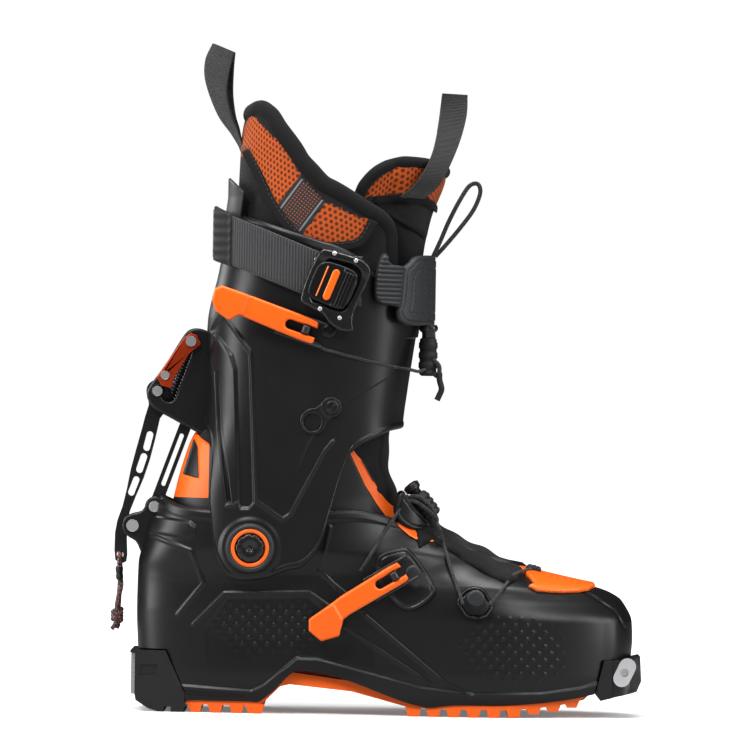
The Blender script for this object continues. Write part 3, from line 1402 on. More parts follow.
# ---------------------------------------------------------------- rear spoiler
def build_spoiler():
    low = 278
    u = np.linspace(0, 1, 90)
    angle = 146 + 68*u                  # round the back from one side to the other
    top = 286 + 24*(1 - 0.35*(2*u - 1)**2)

    def sheet(inset):
        return np.array([cuff_point(angle, low + (top + 0.6 - low)*s, inset)
                         for s in np.linspace(0, 1, 34)])
    shell("rear_spoiler_skin", sheet(-1.9), sheet(-0.25), GREY,
          ("cuff", "rear_spoiler", "shell_black"), closed=False)


build_spoiler()


# ---------------------------------------------------------------- laying parts on the shells
def clog_half(x, z):
    rear, front = CLOG_REAR(z), CLOG_FRONT(z)
    middle = rear + 0.45*(front - rear)
    reach = np.where(x >= middle, front - middle, middle - rear)
    power = np.where(x >= middle, CLOG_FRONT_POWER(z), CLOG_REAR_POWER(z))
    return PLAN_WIDTH(x)*CLOG_WIDTH(z)*cap((x - middle)/reach, power)


def clog_y(x, z, lift=0.0):
    """y of the lateral side of the clog"""
    x, z = np.asarray(x, float), np.asarray(z, float)
    return -(clog_half(x, z) + lift) + PLAN_SHIFT(x)*SHIFT_FADE(z)


def clog_top_z(x, y):
    """Height of the upper surface, by bisection"""
    x, y = np.asarray(x, float), np.asarray(y, float)
    low, high = np.full(x.shape, 58.0), np.full(x.shape, 124.0)
    for _ in range(30):
        z = (low + high)/2
        room = clog_half(x, z) - np.abs(y - PLAN_SHIFT(x)*SHIFT_FADE(z))
        within = (room > 0) & (x < CLOG_FRONT(z))
        low = np.where(within, z, low)
        high = np.where(within, high, z)
    return low


def on_clog_top(x, y, h):
    e = 0.8
    zx = np.clip((clog_top_z(x+e, y) - clog_top_z(x-e, y))/(2*e), -3, 3)
    zy = np.clip((clog_top_z(x, y+e) - clog_top_z(x, y-e))/(2*e), -3, 3)
    norm = np.sqrt(zx*zx + zy*zy + 1)
    return x - zx/norm*h, y - zy/norm*h, clog_top_z(x, y) + h/norm


def cuff_y(x, z, lift=0.0):
    """y of the lateral side of the cuff"""
    x, z = np.asarray(x, float), np.asarray(z, float)
    middle, half = mid_half(CUFF_REAR(z), CUFF_FRONT(z))
    return -(CUFF_WIDTH(z)*cap((x - middle)/half, CUFF_POWER(z)) + lift)


def on_clog_side(x, z, h):
    return x, clog_y(x, z, h), z


def on_cuff_side(x, z, h):
    return x, cuff_y(x, z, h), z


def read_points(mesh):
    co = np.zeros(len(mesh.vertices)*3)
    mesh.vertices.foreach_get("co", co)
    return co.reshape(-1, 3)


def puff(obj, pressure, limit, pin, voxel=4.0, stiffness=22.0, frames=20):
    """Cloth under air pressure swells between its pinned edges, by at most limit.
    pin(x, y, z) gives 0 to 1, in mm."""
    add_mod(obj, "REMESH", mode="VOXEL", voxel_size=voxel*MM, use_smooth_shade=True)
    before = read_points(bake(obj))
    group = obj.vertex_groups.new(name="pin")
    weights = np.round(pin(*(before/MM).T), 1)
    for q in np.unique(weights):
        if q > 0:
            group.add([int(i) for i in np.nonzero(weights == q)[0]], float(q), "REPLACE")
    cloth = add_mod(obj, "CLOTH")
    for key, value in dict(
            quality=6, mass=0.25, tension_stiffness=stiffness, compression_stiffness=stiffness,
            shear_stiffness=stiffness*0.5, bending_stiffness=0.6, use_pressure=True,
            uniform_pressure_force=pressure, vertex_group_mass="pin",
            pin_stiffness=2.0).items():
        setattr(cloth.settings, key, value)
    cloth.settings.effector_weights.gravity = 0.0
    cloth.collision_settings.use_collision = False
    cloth.collision_settings.use_self_collision = False
    scene = bpy.context.scene
    scene.frame_start = 1
    scene.frame_end = frames
    cloth.point_cache.frame_start = 1
    cloth.point_cache.frame_end = frames
    for frame_number in range(1, frames + 1):
        scene.frame_set(frame_number)
        bpy.context.view_layer.update()
    mesh = bake(obj)
    move = read_points(mesh) - before
    size = np.linalg.norm(move, axis=1, keepdims=True)
    move = move*np.minimum(1, limit*MM/np.maximum(size, 1e-9))
    mesh.vertices.foreach_set("co", (before + np.nan_to_num(move)).ravel())
    scene.frame_set(1)
    add_mod(obj, "SUBSURF", levels=1, render_levels=1)
    mesh = bake(obj)
    mesh.polygons.foreach_set("use_smooth", [True]*len(mesh.polygons))


def paint(obj, fields):
    points = read_points(obj.data)/MM
    for key, field in fields.items():
        add_attribute(obj.data, key, field(*points.T))


# ---------------------------------------------------------------- liner above the cuff
LABEL = [(25.9,312.8),(11.1,292.5),(25.5,276.0),(41.0,297.4)]
REAR_MESH = [
    (-3.5,348.6),(-7.4,343),(-14,333),(-14,326),(-5,322),(1.5,312.5),(11.1,292.5),(26.5,313.2),
    (16.5,328.5),(5.8,338.5)]
FRONT_MESH = [(41.0,297.4),(25.5,276.0),(37.3,272.0),(53.7,272.6),(62.0,275.2),(67.5,287.2),
              (55.7,290.8),(48.7,294.6)]
BINDING = [(-14,330),(-6.4,326.9),(1.5,311.8),(10.0,293.2),(25.5,275.0),(37.3,270.9),
           (53.7,271.6),(62.6,274.4),(68.6,286.8),(72,288)]
# over the angle from the front
LINER_TOP = curve([
    (0,231),(36,233),(41,250),(46,281),(53,288.5),(60,292.0),(66,294.5),(75,299),(84,304),
    (92,309),(100,317),(106,322.5),(112,330),(124,341),(136,349.5),(150,353),(166,351.5),
    (180,350.5)])
LINER_UPPER = ("cuff", "liner_upper", "liner_fabric")


def liner_middle(z):
    """z held to the tables, and the middle and half length there"""
    z = np.clip(z, 178, 353)
    return (z, *mid_half(LINER_REAR(z), LINER_FRONT(z)))


def liner_skin(x, y, z):
    """0 on the outer skin, 50 elsewhere"""
    z, middle, half = liner_middle(z)
    depth = 4.6
    out = (np.abs((x - middle)/(half - depth))**SOFT_POWER
           + np.abs(y/(LINER_WIDTH(z) - depth))**SOFT_POWER > 1.0)
    return np.where(out, 0.0, 50.0)


def liner_pin(x, y, z):
    """Held inside the shell and along the stitched lines"""
    label = np.minimum(line_dist(x, z, LABEL[:2]), line_dist(x, z, LABEL[2:]))
    w = np.maximum(ease(-z, -262, -250), 0.9*along(x, z, BINDING, -4.5, -2.0))
    return np.clip(np.maximum(w, 0.6*ease(-label, -4, -2)), 0, 1)


def build_liner():
    def surface(inset):
        def point(angle, s):
            top = LINER_TOP(fold(angle)) - 3.0
            return liner_point(angle, 181 + (top - 181)*s, inset)
        return point
    obj = shell("liner_cuff", rings(surface(0.8), 90, 300), rings(surface(7.3), 40, 300),
                LINER, rim=6, uv=False)
    puff(obj, pressure=3.2, limit=4.5, pin=liner_pin)
    # label axes: u across the band, v along it
    corners = np.array(LABEL)
    start, end = (corners[0] + corners[3])/2, (corners[1] + corners[2])/2
    centre = (start + end)/2
    down = (end - start)/np.linalg.norm(end - start)
    over = np.array([-down[1], down[0]])
    paint(obj, {
        "sd_mesh": lambda x, y, z: np.maximum(
            np.minimum(poly_dist(x, z, REAR_MESH), poly_dist(x, z, FRONT_MESH)),
            liner_skin(x, y, z)),
        "sd_label": lambda x, y, z: np.maximum(poly_dist(x, z, LABEL), liner_skin(x, y, z)),
        "lab_u": lambda x, y, z: (x - centre[0])*over[0] + (z - centre[1])*over[1],
        "lab_v": lambda x, y, z: (x - centre[0])*down[0] + (z - centre[1])*down[1],
        "sd_bind": lambda x, y, z: np.maximum(line_dist(x, z, BINDING) - 2.6,
                                              liner_skin(x, y, z)),
        "sd_bindc": lambda x, y, z: line_dist(x, z, BINDING),
        "bind_u": lambda x, y, z: x*0.75 - z*0.66})
    tell(obj, LINER_UPPER)


def build_liner_edge():
    """Rolled edge round the top, open at the front"""
    angles = np.r_[np.arange(43, 180.1, 1.0), np.arange(-180, -42.9, 1.0)]
    path = resample(liner_point(angles, LINER_TOP(fold(angles)) - 2.0, 3.6), 260)
    sweep("liner_rolled_edge", path, section(4.5, 5.4, 20), (0, 0, 1), ROLLED_CLOTH,
          LINER_UPPER)


def build_liner_tape():
    """Stitched tape along the lower edge of the mesh"""
    line = resample(smooth_line(BINDING[1:-1]), 70)
    z, middle, half = liner_middle(line[:, 1])
    y = LINER_WIDTH(z)*cap((line[:, 0] - middle)/half, SOFT_POWER) + 0.9
    tangent = unit(np.gradient(line, axis=0))
    seam = line + np.stack([-tangent[:, 1], tangent[:, 0]], 1)*1.5
    for side, end in SIDES:
        sweep("liner_tape_" + end, np.stack([line[:, 0], side*y, line[:, 1]], 1),
              section(2.9, 0.85, 16), (0, side, 0.25), TAPE, LINER_UPPER)
        stitches("liner_tape_thread_" + end,
                 np.stack([seam[:, 0], side*(y + 0.62), seam[:, 1]], 1), (0, side, 0.2),
                 THREAD, LINER_UPPER, length=1.9, gap=1.1, radius=0.26, lift=0.1)


build_liner()
build_liner_edge()
build_liner_tape()

# ---------------------------------------------------------------- tongue
TONGUE_FRONT = curve([(236,93.5),(252,96),(290,103),(308,110),(328,115)])
TONGUE_WIDTH = curve([(236,38),(290,40),(328,42)])
# over the angle from the front
TONGUE_TOP = curve([(0,317.5),(22,319),(45,321.5),(60,322),(72,320.5),(80,317),(86,311),(90,303)])
TONGUE_DEPTH = 46       # how far the wings reach back from the front
TONGUE_WING = 88        # angle of the wing edges
TONGUE_SEAM = [(58,297),(68.5,298.8),(77.9,300.1),(90.8,300.3),(99.0,299.3),(106.1,294.1),
               (120,288)]
TONGUE_MESH = [(58,299),(68,300.8),(77.5,302.2),(90.8,302.4),(99.5,301.4),(107,296.5),
               (124,289),(130,330),(55,330)]
LOWER_SEAM = [(75,292.6),(83.9,287.3),(92,283.2),(98,279.2)]
LINER_TONGUE = ("cuff", "liner_tongue", "liner_fabric")


def tongue_point(angle, z, inset):
    angle = np.radians(np.asarray(angle, float))
    z = np.broadcast_to(np.asarray(z, float), angle.shape)
    x = TONGUE_FRONT(z) - inset - TONGUE_DEPTH + TONGUE_DEPTH*np.cos(angle)
    y = (TONGUE_WIDTH(z) - inset)*np.abs(np.sin(angle))
    # the wings are tucked inside the liner and open out above it
    low = np.clip(z, 178, 294)
    wall = 7.5
    middle, half = mid_half(LINER_REAR(low) + wall, LINER_FRONT(low) - wall)
    room = ((LINER_WIDTH(low) - wall)*cap(np.clip((x - middle)/half, -1, 1), SOFT_POWER)
            - 0.8 - inset + 7.0*ease(z, 294, 318))
    front = ease(x, 76, 88)
    y = np.minimum(y, np.maximum(room, 2))*(1 - front) + y*front
    return np.stack([x, np.sign(np.sin(angle))*y, z], -1)


def tongue_skin(x, y, z):
    """0 on the outer skin, 50 elsewhere"""
    depth = 3.2
    front = (((x - TONGUE_FRONT(z) + depth + TONGUE_DEPTH)/TONGUE_DEPTH)**2
             + (y/(TONGUE_WIDTH(z) - depth))**2 > 1.0)
    return np.where(np.where(x > 90, front, np.abs(y) > 15), 0.0, 50.0)


def tongue_pin(x, y, z):
    seam = 0.9*along(x, z, TONGUE_SEAM, -4.5, -2)
    return np.clip(np.maximum(ease(-z, -290, -278), seam), 0, 1)


def build_tongue():
    angle = TONGUE_WING*np.linspace(-1, 1, 220)
    top = TONGUE_TOP(np.abs(angle)) - 1.5

    def sheet(inset):
        return np.array([tongue_point(angle, 236 + (top - 236)*s, inset)
                         for s in np.linspace(0, 1, 80)])
    obj = shell("tongue", sheet(0.6), sheet(5.8), LINER, closed=False, uv=False)
    puff(obj, pressure=3.0, limit=3.0, pin=tongue_pin)

    def far(x, y, z):
        return np.full(x.shape, 50.0)
    paint(obj, {
        "sd_mesh": lambda x, y, z: np.maximum(poly_dist(x, z, TONGUE_MESH),
                                              tongue_skin(x, y, z)),
        "sd_label": far, "lab_u": far, "lab_v": far,
        "sd_bind": lambda x, y, z: np.maximum(line_dist(x, z, TONGUE_SEAM) - 2.2,
                                              tongue_skin(x, y, z)),
        "sd_bindc": lambda x, y, z: line_dist(x, z, TONGUE_SEAM),
        "bind_u": lambda x, y, z: x})
    tell(obj, LINER_TONGUE)


def build_tongue_edge():
    """Rolled edge over the top and down both sides"""
    angle = np.linspace(-TONGUE_WING, TONGUE_WING, 200)
    top = TONGUE_TOP(np.abs(angle)) - 1.0
    left = tongue_point(np.full(24, angle[0]), np.linspace(280, top[0], 24), 3.0)
    right = tongue_point(np.full(24, angle[-1]), np.linspace(top[-1], 280, 24), 3.0)
    path = np.vstack([left[:-1], tongue_point(angle, top, 3.0), right[1:]])
    path = resample(smooth_line(path, 1), 240)
    sweep("tongue_rolled_edge", path, section(3.4, 3.9, 18),
          unit(path - np.array([60, 0, 268])), ROLLED_CLOTH, LINER_TONGUE)


def build_tongue_tapes():
    # line, lift, half width and half thickness of each tape
    tapes = ((TONGUE_SEAM[1:6], 0.9, 2.2, 0.8), (LOWER_SEAM, 0.8, 1.5, 0.9))
    for side, end in SIDES:
        for i, (line, lift, half_width, half_height) in enumerate(tapes):
            x, z = resample(smooth_line(line), 50).T
            cos = np.clip((x - TONGUE_FRONT(z) + TONGUE_DEPTH + 0.6)/TONGUE_DEPTH, -1, 1)
            pts = tongue_point(np.degrees(np.arccos(cos)), z, 0.6 - lift)
            pts = pts*np.array([1, side, 1])
            up = pts - np.array([50, 0, 0])
            up[:, 2] = 0
            sweep("tongue_tape_%s_%d" % (end, i), pts, section(half_width, half_height, 16),
                  unit(up), TAPE, LINER_TONGUE)


build_tongue()
build_tongue_edge()
build_tongue_tapes()

# ---------------------------------------------------------------- pull loops
LOOP_ROWS, LOOP_COLUMNS = 70, 9
RUN = np.linspace(0, 1, LOOP_ROWS)      # along a strand, from its foot to the top


def loop_strand(name, left, right, gap, shift, replaced):
    """Woven tape between two side-view edges; gap is the y distance between the edges
    and shift their mean y, both given along RUN."""
    thickness = 1.5
    n, w = LOOP_ROWS, LOOP_COLUMNS
    left = spline([(x, 0, z) for x, z in left], n)
    right = spline([(x, 0, z) for x, z in right], n)
    left[:, 1] = shift + gap/2
    right[:, 1] = shift - gap/2
    centre = (left + right)/2
    across = right - left
    normal = unit(np.cross(unit(np.gradient(centre, axis=0)), unit(across)))
    front, back = [], []
    for j in range(w):
        f = j/(w - 1)
        edge = 1 - abs(2*f - 1)**6*0.35
        middle = left*(1 - f) + right*f
        front.append(middle + normal*(thickness/2)*edge)
        back.append(middle - normal*(thickness/2)*edge)
    verts = np.vstack([np.stack(part, 1).reshape(-1, 3) for part in (front, back)])
    q = n*w
    faces = []
    for i in range(n - 1):
        for j in range(w - 1):
            a, b, c, e = i*w + j, i*w + j + 1, (i+1)*w + j + 1, (i+1)*w + j
            faces += [(a, b, c, e), (q+e, q+c, q+b, q+a)]
        a, b = i*w, (i+1)*w
        faces.append((a, b, q+b, q+a))
        a, b = a + w - 1, b + w - 1
        faces.append((a, q+a, q+b, b))
    last = (n - 1)*w
    faces.append(tuple(range(w)) + tuple(q + w - 1 - j for j in range(w)))
    faces.append(tuple(last + w - 1 - j for j in range(w)) + tuple(q + last + j for j in range(w)))
    width = np.linalg.norm(across, axis=1)
    uvs = np.stack([np.repeat(run_length(centre), w),
                    np.tile(np.linspace(0, 1, w), n)*np.repeat(width, w)], 1)
    obj = add_mesh(name, verts, faces, WEB_BLACK, uvs=np.vstack([uvs]*2))
    face_outward(obj.data)
    split_edges(obj, 45)
    tell(obj, ("cuff", replaced, "webbing"))


loop_strand(
    "rear_loop_near",
    [(-9.2,327.5),(-15.3,337.3),(-23.7,348.9),(-31.0,367.6),(-31.5,380.5),(-27.3,390.6)],
    [(-6.6,325.8),(-11.8,339.7),(-15.5,347.9),(-18.6,360.7),(-17.1,374.8),(-14.3,384.8)],
    gap=17 - 3.0*RUN, shift=-2 - 4.5*np.sin(np.pi*np.minimum(RUN*1.1, 1)),
    replaced="rear_pull_loop")
loop_strand(
    "rear_loop_far",
    [(-9.8,327.5),(-14,337.3),(-20.6,348.9),(-26.8,367.6),(-28.6,380.5),(-27.0,390.4)],
    [(-8.2,325.8),(-11.0,339.7),(-13.5,347.9),(-15.2,360.7),(-14.9,374.8),(-14.1,384.6)],
    gap=17 - 3.0*RUN, shift=2 + (5.0*np.sin(np.pi*RUN) - 4.0*RUN), replaced="rear_pull_loop")
FRONT_SPREAD = 33.0*(1 - ease(RUN, 0.14, 0.97))
loop_strand(
    "front_loop_near",
    [(84,301.0),(93,309.5),(101.5,325.4),(105.8,345),(107.9,362.8)],
    [(97.5,300.6),(107,309.8),(116.6,330.7),(121.6,349.2),(122.2,362.8)],
    gap=-10 - 4*RUN, shift=-FRONT_SPREAD, replaced="front_pull_loop")
loop_strand(
    "front_loop_far",
    [(85,301.0),(94,309.5),(101.8,325.4),(105.6,345),(107.7,362.6)],
    [(98,300.6),(107,309.8),(115.6,330.7),(120.6,349.2),(122.0,362.6)],
    gap=10 - 24*ease(RUN, 0.35, 0.97), shift=FRONT_SPREAD, replaced="front_pull_loop")


# ---------------------------------------------------------------- power strap
POWER_STRAP = ("cuff", "power_strap", "webbing")
STRAP_PAD = ("cuff", "strap_pad", "black_rubber")


def build_strap():
    obj = shell("strap_web", rings(lambda a, s: strap_point(a, s, 2.0), 14, 480),
                rings(lambda a, s: strap_point(a, s, 0.4), 6, 480), WEB, POWER_STRAP, rim=4)
    # open at the front of the lateral side, where the pad takes over
    bm = bmesh.new()
    bm.from_mesh(obj.data)
    gone = [v for v in bm.verts if v.co.x > 0.0630 and v.co.y < 0.004]
    bmesh.ops.delete(bm, geom=gone, context="VERTS")
    bm.to_mesh(obj.data)
    bm.free()


build_strap()
# Length u round the strap: 0 at the shin, negative on the lateral side
STRAP_ANGLES = np.linspace(-180, 180, 2881)
STRAP_RING = strap_point(STRAP_ANGLES, 0.5, 2.0)[:, :2]
STRAP_RUN = run_length(STRAP_RING)
STRAP_RUN -= np.interp(0, STRAP_ANGLES, STRAP_RUN)
STRAP_NORMAL = unit(np.stack([np.gradient(STRAP_RING[:, 1]), -np.gradient(STRAP_RING[:, 0])], 1))


def on_strap(u, z, h):
    x, y = [np.interp(u, STRAP_RUN, STRAP_RING[:, k]) + np.interp(u, STRAP_RUN, STRAP_NORMAL[:, k])*h
            for k in range(2)]
    return x, y, z


def lateral_u(x):
    lateral = (STRAP_ANGLES <= 0) & (STRAP_ANGLES >= -178)
    return float(np.interp(x, STRAP_RING[lateral][:, 0], STRAP_RUN[lateral]))


def strap_outline(pts):
    """(x, z) points to (u, z); past x = 99 the outline runs on round the shin"""
    return [(lateral_u(min(x, 99.0)) + (max(0, x - 99.0))*4.5, z) for x, z in pts]


def strap_line(pts, count, h):
    """Points on the strap and the normals there"""
    q = resample(np.array(pts, float), count)
    low, high = [np.stack(on_strap(q[:, 0], q[:, 1], np.full(count, k)), 1) for k in (h, h+1)]
    return low, high - low


def build_keeper():
    """Dark tab folded round the band at the back"""
    rear, front = lateral_u(-22.6), lateral_u(-13.5)
    outline = [(rear, strap_z(-22) + 16.8), (front, strap_z(-15) + 15.2),
               (front, strap_z(-15) - 15.4), (rear, strap_z(-22) - 14.8)]
    us, vs = zip(*outline)
    plate("strap_keeper_skin", polygon(outline),
          (min(us) - 1, min(vs) - 1, max(us) + 1, max(vs) + 1), 0.6, on_strap,
          top=lambda u, v: 2.2 + 0.25*np.sin(v*1.2), bottom=0.1, edge=0.9, mat=RUBBER,
          owner=("cuff", "strap_keeper", "black_rubber"))
    # white stitch line across the band beside the buckle
    path, normals = strap_line([(lateral_u(35.2), 264.5), (lateral_u(28.6), 241.5)], 40, 0.25)
    stitches("strap_thread_white", path, normals, THREAD_WHITE, POWER_STRAP, length=1.5,
             gap=1.0, radius=0.36, lift=0.15)


build_keeper()

# Buckle frame over the strap, in (u, v) from CAM
FRAME_OUTER = smooth_loop([
    (-8,16.9),(-2,18.4),(8,19.6),(19,20.4),(23.6,18.4),(25.6,14.5),(25.2,4),(24.6,-8),
    (26.4,-15.5),(29.5,-19.8),(23,-22.8),(14,-21.5),(8.5,-17),(-2,-16.6),(-8,-15.3)])
FRAME_INNER = smooth_loop([
    (-2.5,12.8),(5,14.2),(15,15.6),(19.8,13.2),(21,8),(20.4,-4),(19.2,-11.2),(14,-12.6),
    (6,-12.8),(-2.5,-12.4)])
FRAME_FLOOR = smooth_loop([(5.5,14.4),(22,16.5),(22,-13),(5.5,-13)])
FRAME_RIVETS = [(1.5,17.4),(14.5,18.2),(6,-15.2),(18.5,-15.8)]
CAM_OUTLINE = smooth_loop([
    (-4.5,-11.6),(-5.4,0),(-4.5,11.6),(10,13.0),(17.5,12.4),(19.8,9.5),(20.2,0),(19.6,-8.6),
    (17,-11.6),(8,-12.0)])


def build_frame():
    owner = ("cuff", "strap_frame", "black_rubber")
    plate("strap_frame_skin", cut(polygon(FRAME_OUTER), polygon(FRAME_INNER)),
          (-10, -25, 32, 23), 0.5, on_side(CAM, -56.6, STRAP_TILT),
          top=lambda u, v: 4.8 + 0.5*ease(np.abs(v), 10, 15), bottom=-1.0, edge=1.5,
          mat=GLOSS, owner=owner)
    plate("strap_frame_floor", polygon(FRAME_FLOOR), (4, -14, 23, 18), 0.8,
          on_side(CAM, -56.4, STRAP_TILT), top=0.8, bottom=-0.6, edge=0.4, mat=SHELL_DARK,
          owner=owner)
    for k, (u, v) in enumerate(FRAME_RIVETS):
        x, _, z = on_side(CAM, 0, STRAP_TILT)(u, v, 0)
        lathe_y("strap_frame_rivet_%d" % k,
                [(0.01, 1.8), (0.7, 1.75), (1.2, 1.5), (1.5, 1.1), (1.6, 0)], (x, z), 32, -1,
                STEEL, ("cuff", "strap_rivets", "rivet_alloy"), base=60.4)
    refinish("strap_rivets", DARK_METAL, 0.2)


def cam_top(u, v):
    """Crowned face with a ribbed grip at the front end"""
    grip = ease(u, 10.2, 11.0)
    ribs = (0.75*np.maximum(0, np.sin((u - 10.4)*2*np.pi/1.85))**0.6*grip
            * ease(-np.abs(v), -10.6, -9.6))
    return 3.2 + 1.1*np.cos((u - 8)/17.0) + ribs + 0.7*grip


def build_cam():
    place = on_side(CAM, -58.2, STRAP_TILT)
    orange = ("cam_body", "cam_lever", "orange_plastic")
    plate("cam_lever_skin", polygon(CAM_OUTLINE), (-7, -14, 22, 15), 0.3, place, top=cam_top,
          bottom=0.4, edge=1.2, mat=SHELL_DARK, owner=("cam_body", "cam_lever", "black_rubber"))
    plate("cam_lever_pill", rounded_rect(4.6, -9.4, 9.0, 9.4, 2.2), (3, -11, 11, 11), 0.3,
          place, top=lambda u, v: 4.75 + 0.25*np.cos((u - 6.8)/2.2), bottom=2.6, edge=0.5,
          mat=ORANGE, owner=orange)
    plate("cam_lever_rule", rounded_rect(0.6, -9.4, 1.5, 9.4, 0.4), (-1, -11, 3, 11), 0.25,
          place, top=4.5, bottom=2.6, edge=0.3, mat=ORANGE, owner=orange)


build_frame()
build_cam()

# Pad over the shin and its ribbed neck, (u, z) round the strap
PAD = polygon(smooth_loop(
    strap_outline([(83.5,238.5),(81.4,234.8),(83.8,227.2),(93,226.2),(97.6,227.0)])
    + [(4,226.6),(17,227),(22,232),(22,262),(17,267),(4,268)]
    + strap_outline([(99,267.6),(91.6,267.2),(87.8,261.9),(84.6,260.2)])))
NECK = polygon(smooth_loop(strap_outline([
    (73.0,267.8),(70.0,256.8),(69.0,246),(70.8,239.2),(78,237.8),(84,236.8),(86.5,240),
    (87.5,258),(84.6,260.8),(76.5,261.6),(76.0,267.4)]), 1))
NECK_ENDS = lateral_u(70.5), lateral_u(85.5)


def pad_top(u, v):
    d = PAD(u, v)
    h = 3.2 + 0.5*ease(-d, 0.6, 3.2)
    h = h - 0.55*groove(d, 2.6, 0.55, 0.15)
    h = h - 0.35*groove(d, 7.5, 0.5, 0.1)*ease(-d, 3, 6)
    start, end = NECK_ENDS
    ribs = 0.95*np.abs(np.sin((v - 238)*np.pi/2.6))**0.8
    crown = 0.7*np.sin(np.clip((u - start)/(end - start), 0, 1)*np.pi)
    return h + ease(d, -0.8, 1.5)*(ribs - 0.2 + crown)


def build_pad():
    plate("strap_pad_skin", union(PAD, NECK), (lateral_u(66), 222, 25, 271), 0.4, on_strap,
          top=pad_top, bottom=0.15, edge=1.3, mat=GREY_RUBBER, owner=STRAP_PAD)
    # each thread line: (u from x = 90, z) points
    for k, line in enumerate(([(0,232),(1,246),(-1,261)], [(9,230),(10,246),(9,264)],
                              [(17,230),(18,246),(17,264)])):
        path, normals = strap_line([(lateral_u(90) + u, z) for u, z in line], 30, 3.75)
        stitches("pad_thread_%d" % k, path, normals, THREAD, STRAP_PAD, length=1.8, gap=1.1,
                 radius=0.3, lift=0.08)


build_pad()

# ---------------------------------------------------------------- buckle levers
CUFF_LEVER_OUTLINE = [
    (3.4,-7.2),(2.6,6.9),(-14,7.6),(-40.8,8.4),(-57.2,8.6),(-60.6,5.6),(-60.0,-1.5),
    (-55.8,-6.8),(-46.8,-9.4),(-42.4,-4.4),(-17.9,-6.2)]
INSTEP_LEVER_OUTLINE = [
    (3.2,-6.2),(2.4,6.7),(-36,5.6),(-44,4.6),(-58.6,3.4),(-62.0,-2.5),(-58.8,-11.4),
    (-48.3,-14.0),(-41.3,-6.9),(-36,-6.2)]


def lever(name, anchor, y, tilt, outline, slot, crease, bow, kick):
    """Lever reaching back (-u) from its pin. bow arches its length, kick lifts its tip,
    and the face steps up at crease."""
    def top(u, v):
        h = 4.6 - 0.25*(v/8)**2
        return h + 1.2*ease(-u, crease-1.2, crease+1.0) - 0.9*ease(-u, crease+2.0, crease+16)
    flat = on_side(anchor, y, tilt)

    def place(u, v, h):
        arch = bow*np.sin(np.clip(-u/58, 0, 1)*np.pi) + kick*ease(-u, 40, 58)
        return flat(u, v, h + arch)
    plate(name + "_skin", cut(polygon(rounded_poly(outline, 1.9)), slot), (-64, -16, 6, 12),
          0.4, place, top=top, bottom=1.2, edge=1.5, bottom_edge=0.5, mat=ORANGE,
          owner=(name + "_body", name, "orange_plastic"))


lever("cuff_lever", CUFF_LEVER, -54.2, CUFF_TILT, CUFF_LEVER_OUTLINE,
      rounded_rect(-15.5, -2.7, 8, 2.7, 2.6), crease=41.0, bow=0.9, kick=1.0)
lever("instep_lever", INSTEP_LEVER, -47.6, INSTEP_TILT, INSTEP_LEVER_OUTLINE,
      rounded_rect(-15.5, -2.4, 8, 2.8, 2.6), crease=42.0, bow=0.7, kick=0.8)
for buckle in ("cuff", "instep"):
    refinish(buckle + "_buckle_base", GLOSS, 0.5)
    refinish(buckle + "_buckle_pin", BRIGHT, 0.15)


def links(name, anchor, y, tilt, body):
    """Two wire links and a barrel at the buckle pin"""
    place = on_side(anchor, y, tilt)
    owner = (body, name + "_buckle_base", "steel")
    for k, v in enumerate((-6.9, 6.9)):
        path = [place(u, v, h) for u, h in ((-20,0.2),(-15,1.0),(-10,1.4),(-2,2.6),(4.5,3.6),
                                            (8.5,3.0))]
        cord("buckle_link_%s_%d" % (name, k), spline(path, 30), 0.9, DARK_METAL, owner)
    ends = np.array([place(-3.2, v, 3.2) for v in (-2.35, 2.35)])
    cord("buckle_barrel_" + name, resample(ends, 6), 2.5, DARK_METAL, owner, sides=20)


links("cuff", CUFF_LEVER, -54.2, CUFF_TILT, "cuff")
links("instep", INSTEP_LEVER, -47.6, INSTEP_TILT, "clog")

# ---------------------------------------------------------------- side panels and rivets
BUCKLE_PANEL = polygon(smooth_loop([
    (70.9,92.7),(88.4,98.6),(93.5,96.4),(109,75.5),(105.6,68.6),(95,61.0),(86,62.5),(75,76)]))
CABLE_GUIDE = polygon(smooth_loop([
    (119.6,66.3),(123.2,61.2),(125.6,57.6),(136.4,56.8),(141.8,63.6),(140,68.5),(135.5,75.6),
    (127.5,76.4),(121.5,71.8)], 1))
D_RING = cut(union(disc((35.6, 170.2), 7.9), disc((45.8, 178.4), 6.6),
                   bar((37.5, 172), (44.5, 177.4), 5.6)), disc((34.9, 169.6), 4.9))


def rivet(name, x, z, surface_y, lift, radius, body, replaced, mat, height=1.6):
    profile = [(0.01, height), (radius*0.55, height), (radius*0.8, height*0.9),
               (radius*0.95, height*0.6), (radius, 0.1), (radius, -1.0)]
    lathe_y(name, profile, (x, z), 48, -1, mat, (body, replaced, "rivet_alloy"),
            base=-float(surface_y(x, z, lift)))


plate("instep_buckle_panel", BUCKLE_PANEL, (66, 58, 112, 101), 0.5, on_clog_side,
      top=grooved(BUCKLE_PANEL, 1.7, depth=0.5, inset=2.4, outer=0.6, inner=0.2),
      bottom=0.0, edge=0.9, mat=SHELL, owner=CLOG_SHELL)
rivet("instep_panel_rivet", 94.6, 83.6, clog_y, 0.9, 4.3, "clog", "instep_buckle_pin", GREY)
rivet("cuff_panel_rivet", 43.6, 222.4, cuff_y, 0.6, 4.2, "cuff", "cuff_buckle_pin", SHELL)
rivet("dring_rivet", 46.2, 178.6, cuff_y, 2.0, 4.4, "cuff", "dring_tab", SHELL)
plate("dring_tab_skin", D_RING, (25, 160, 55, 188), 0.4, on_cuff_side,
      top=lambda x, z: 2.4 + 0.6*ease(-np.hypot(x - 45.8, z - 178.4), -6.4, -5.4),
      bottom=-0.2, edge=1.1, mat=SHELL, owner=("cuff", "dring_tab", "shell_black"))
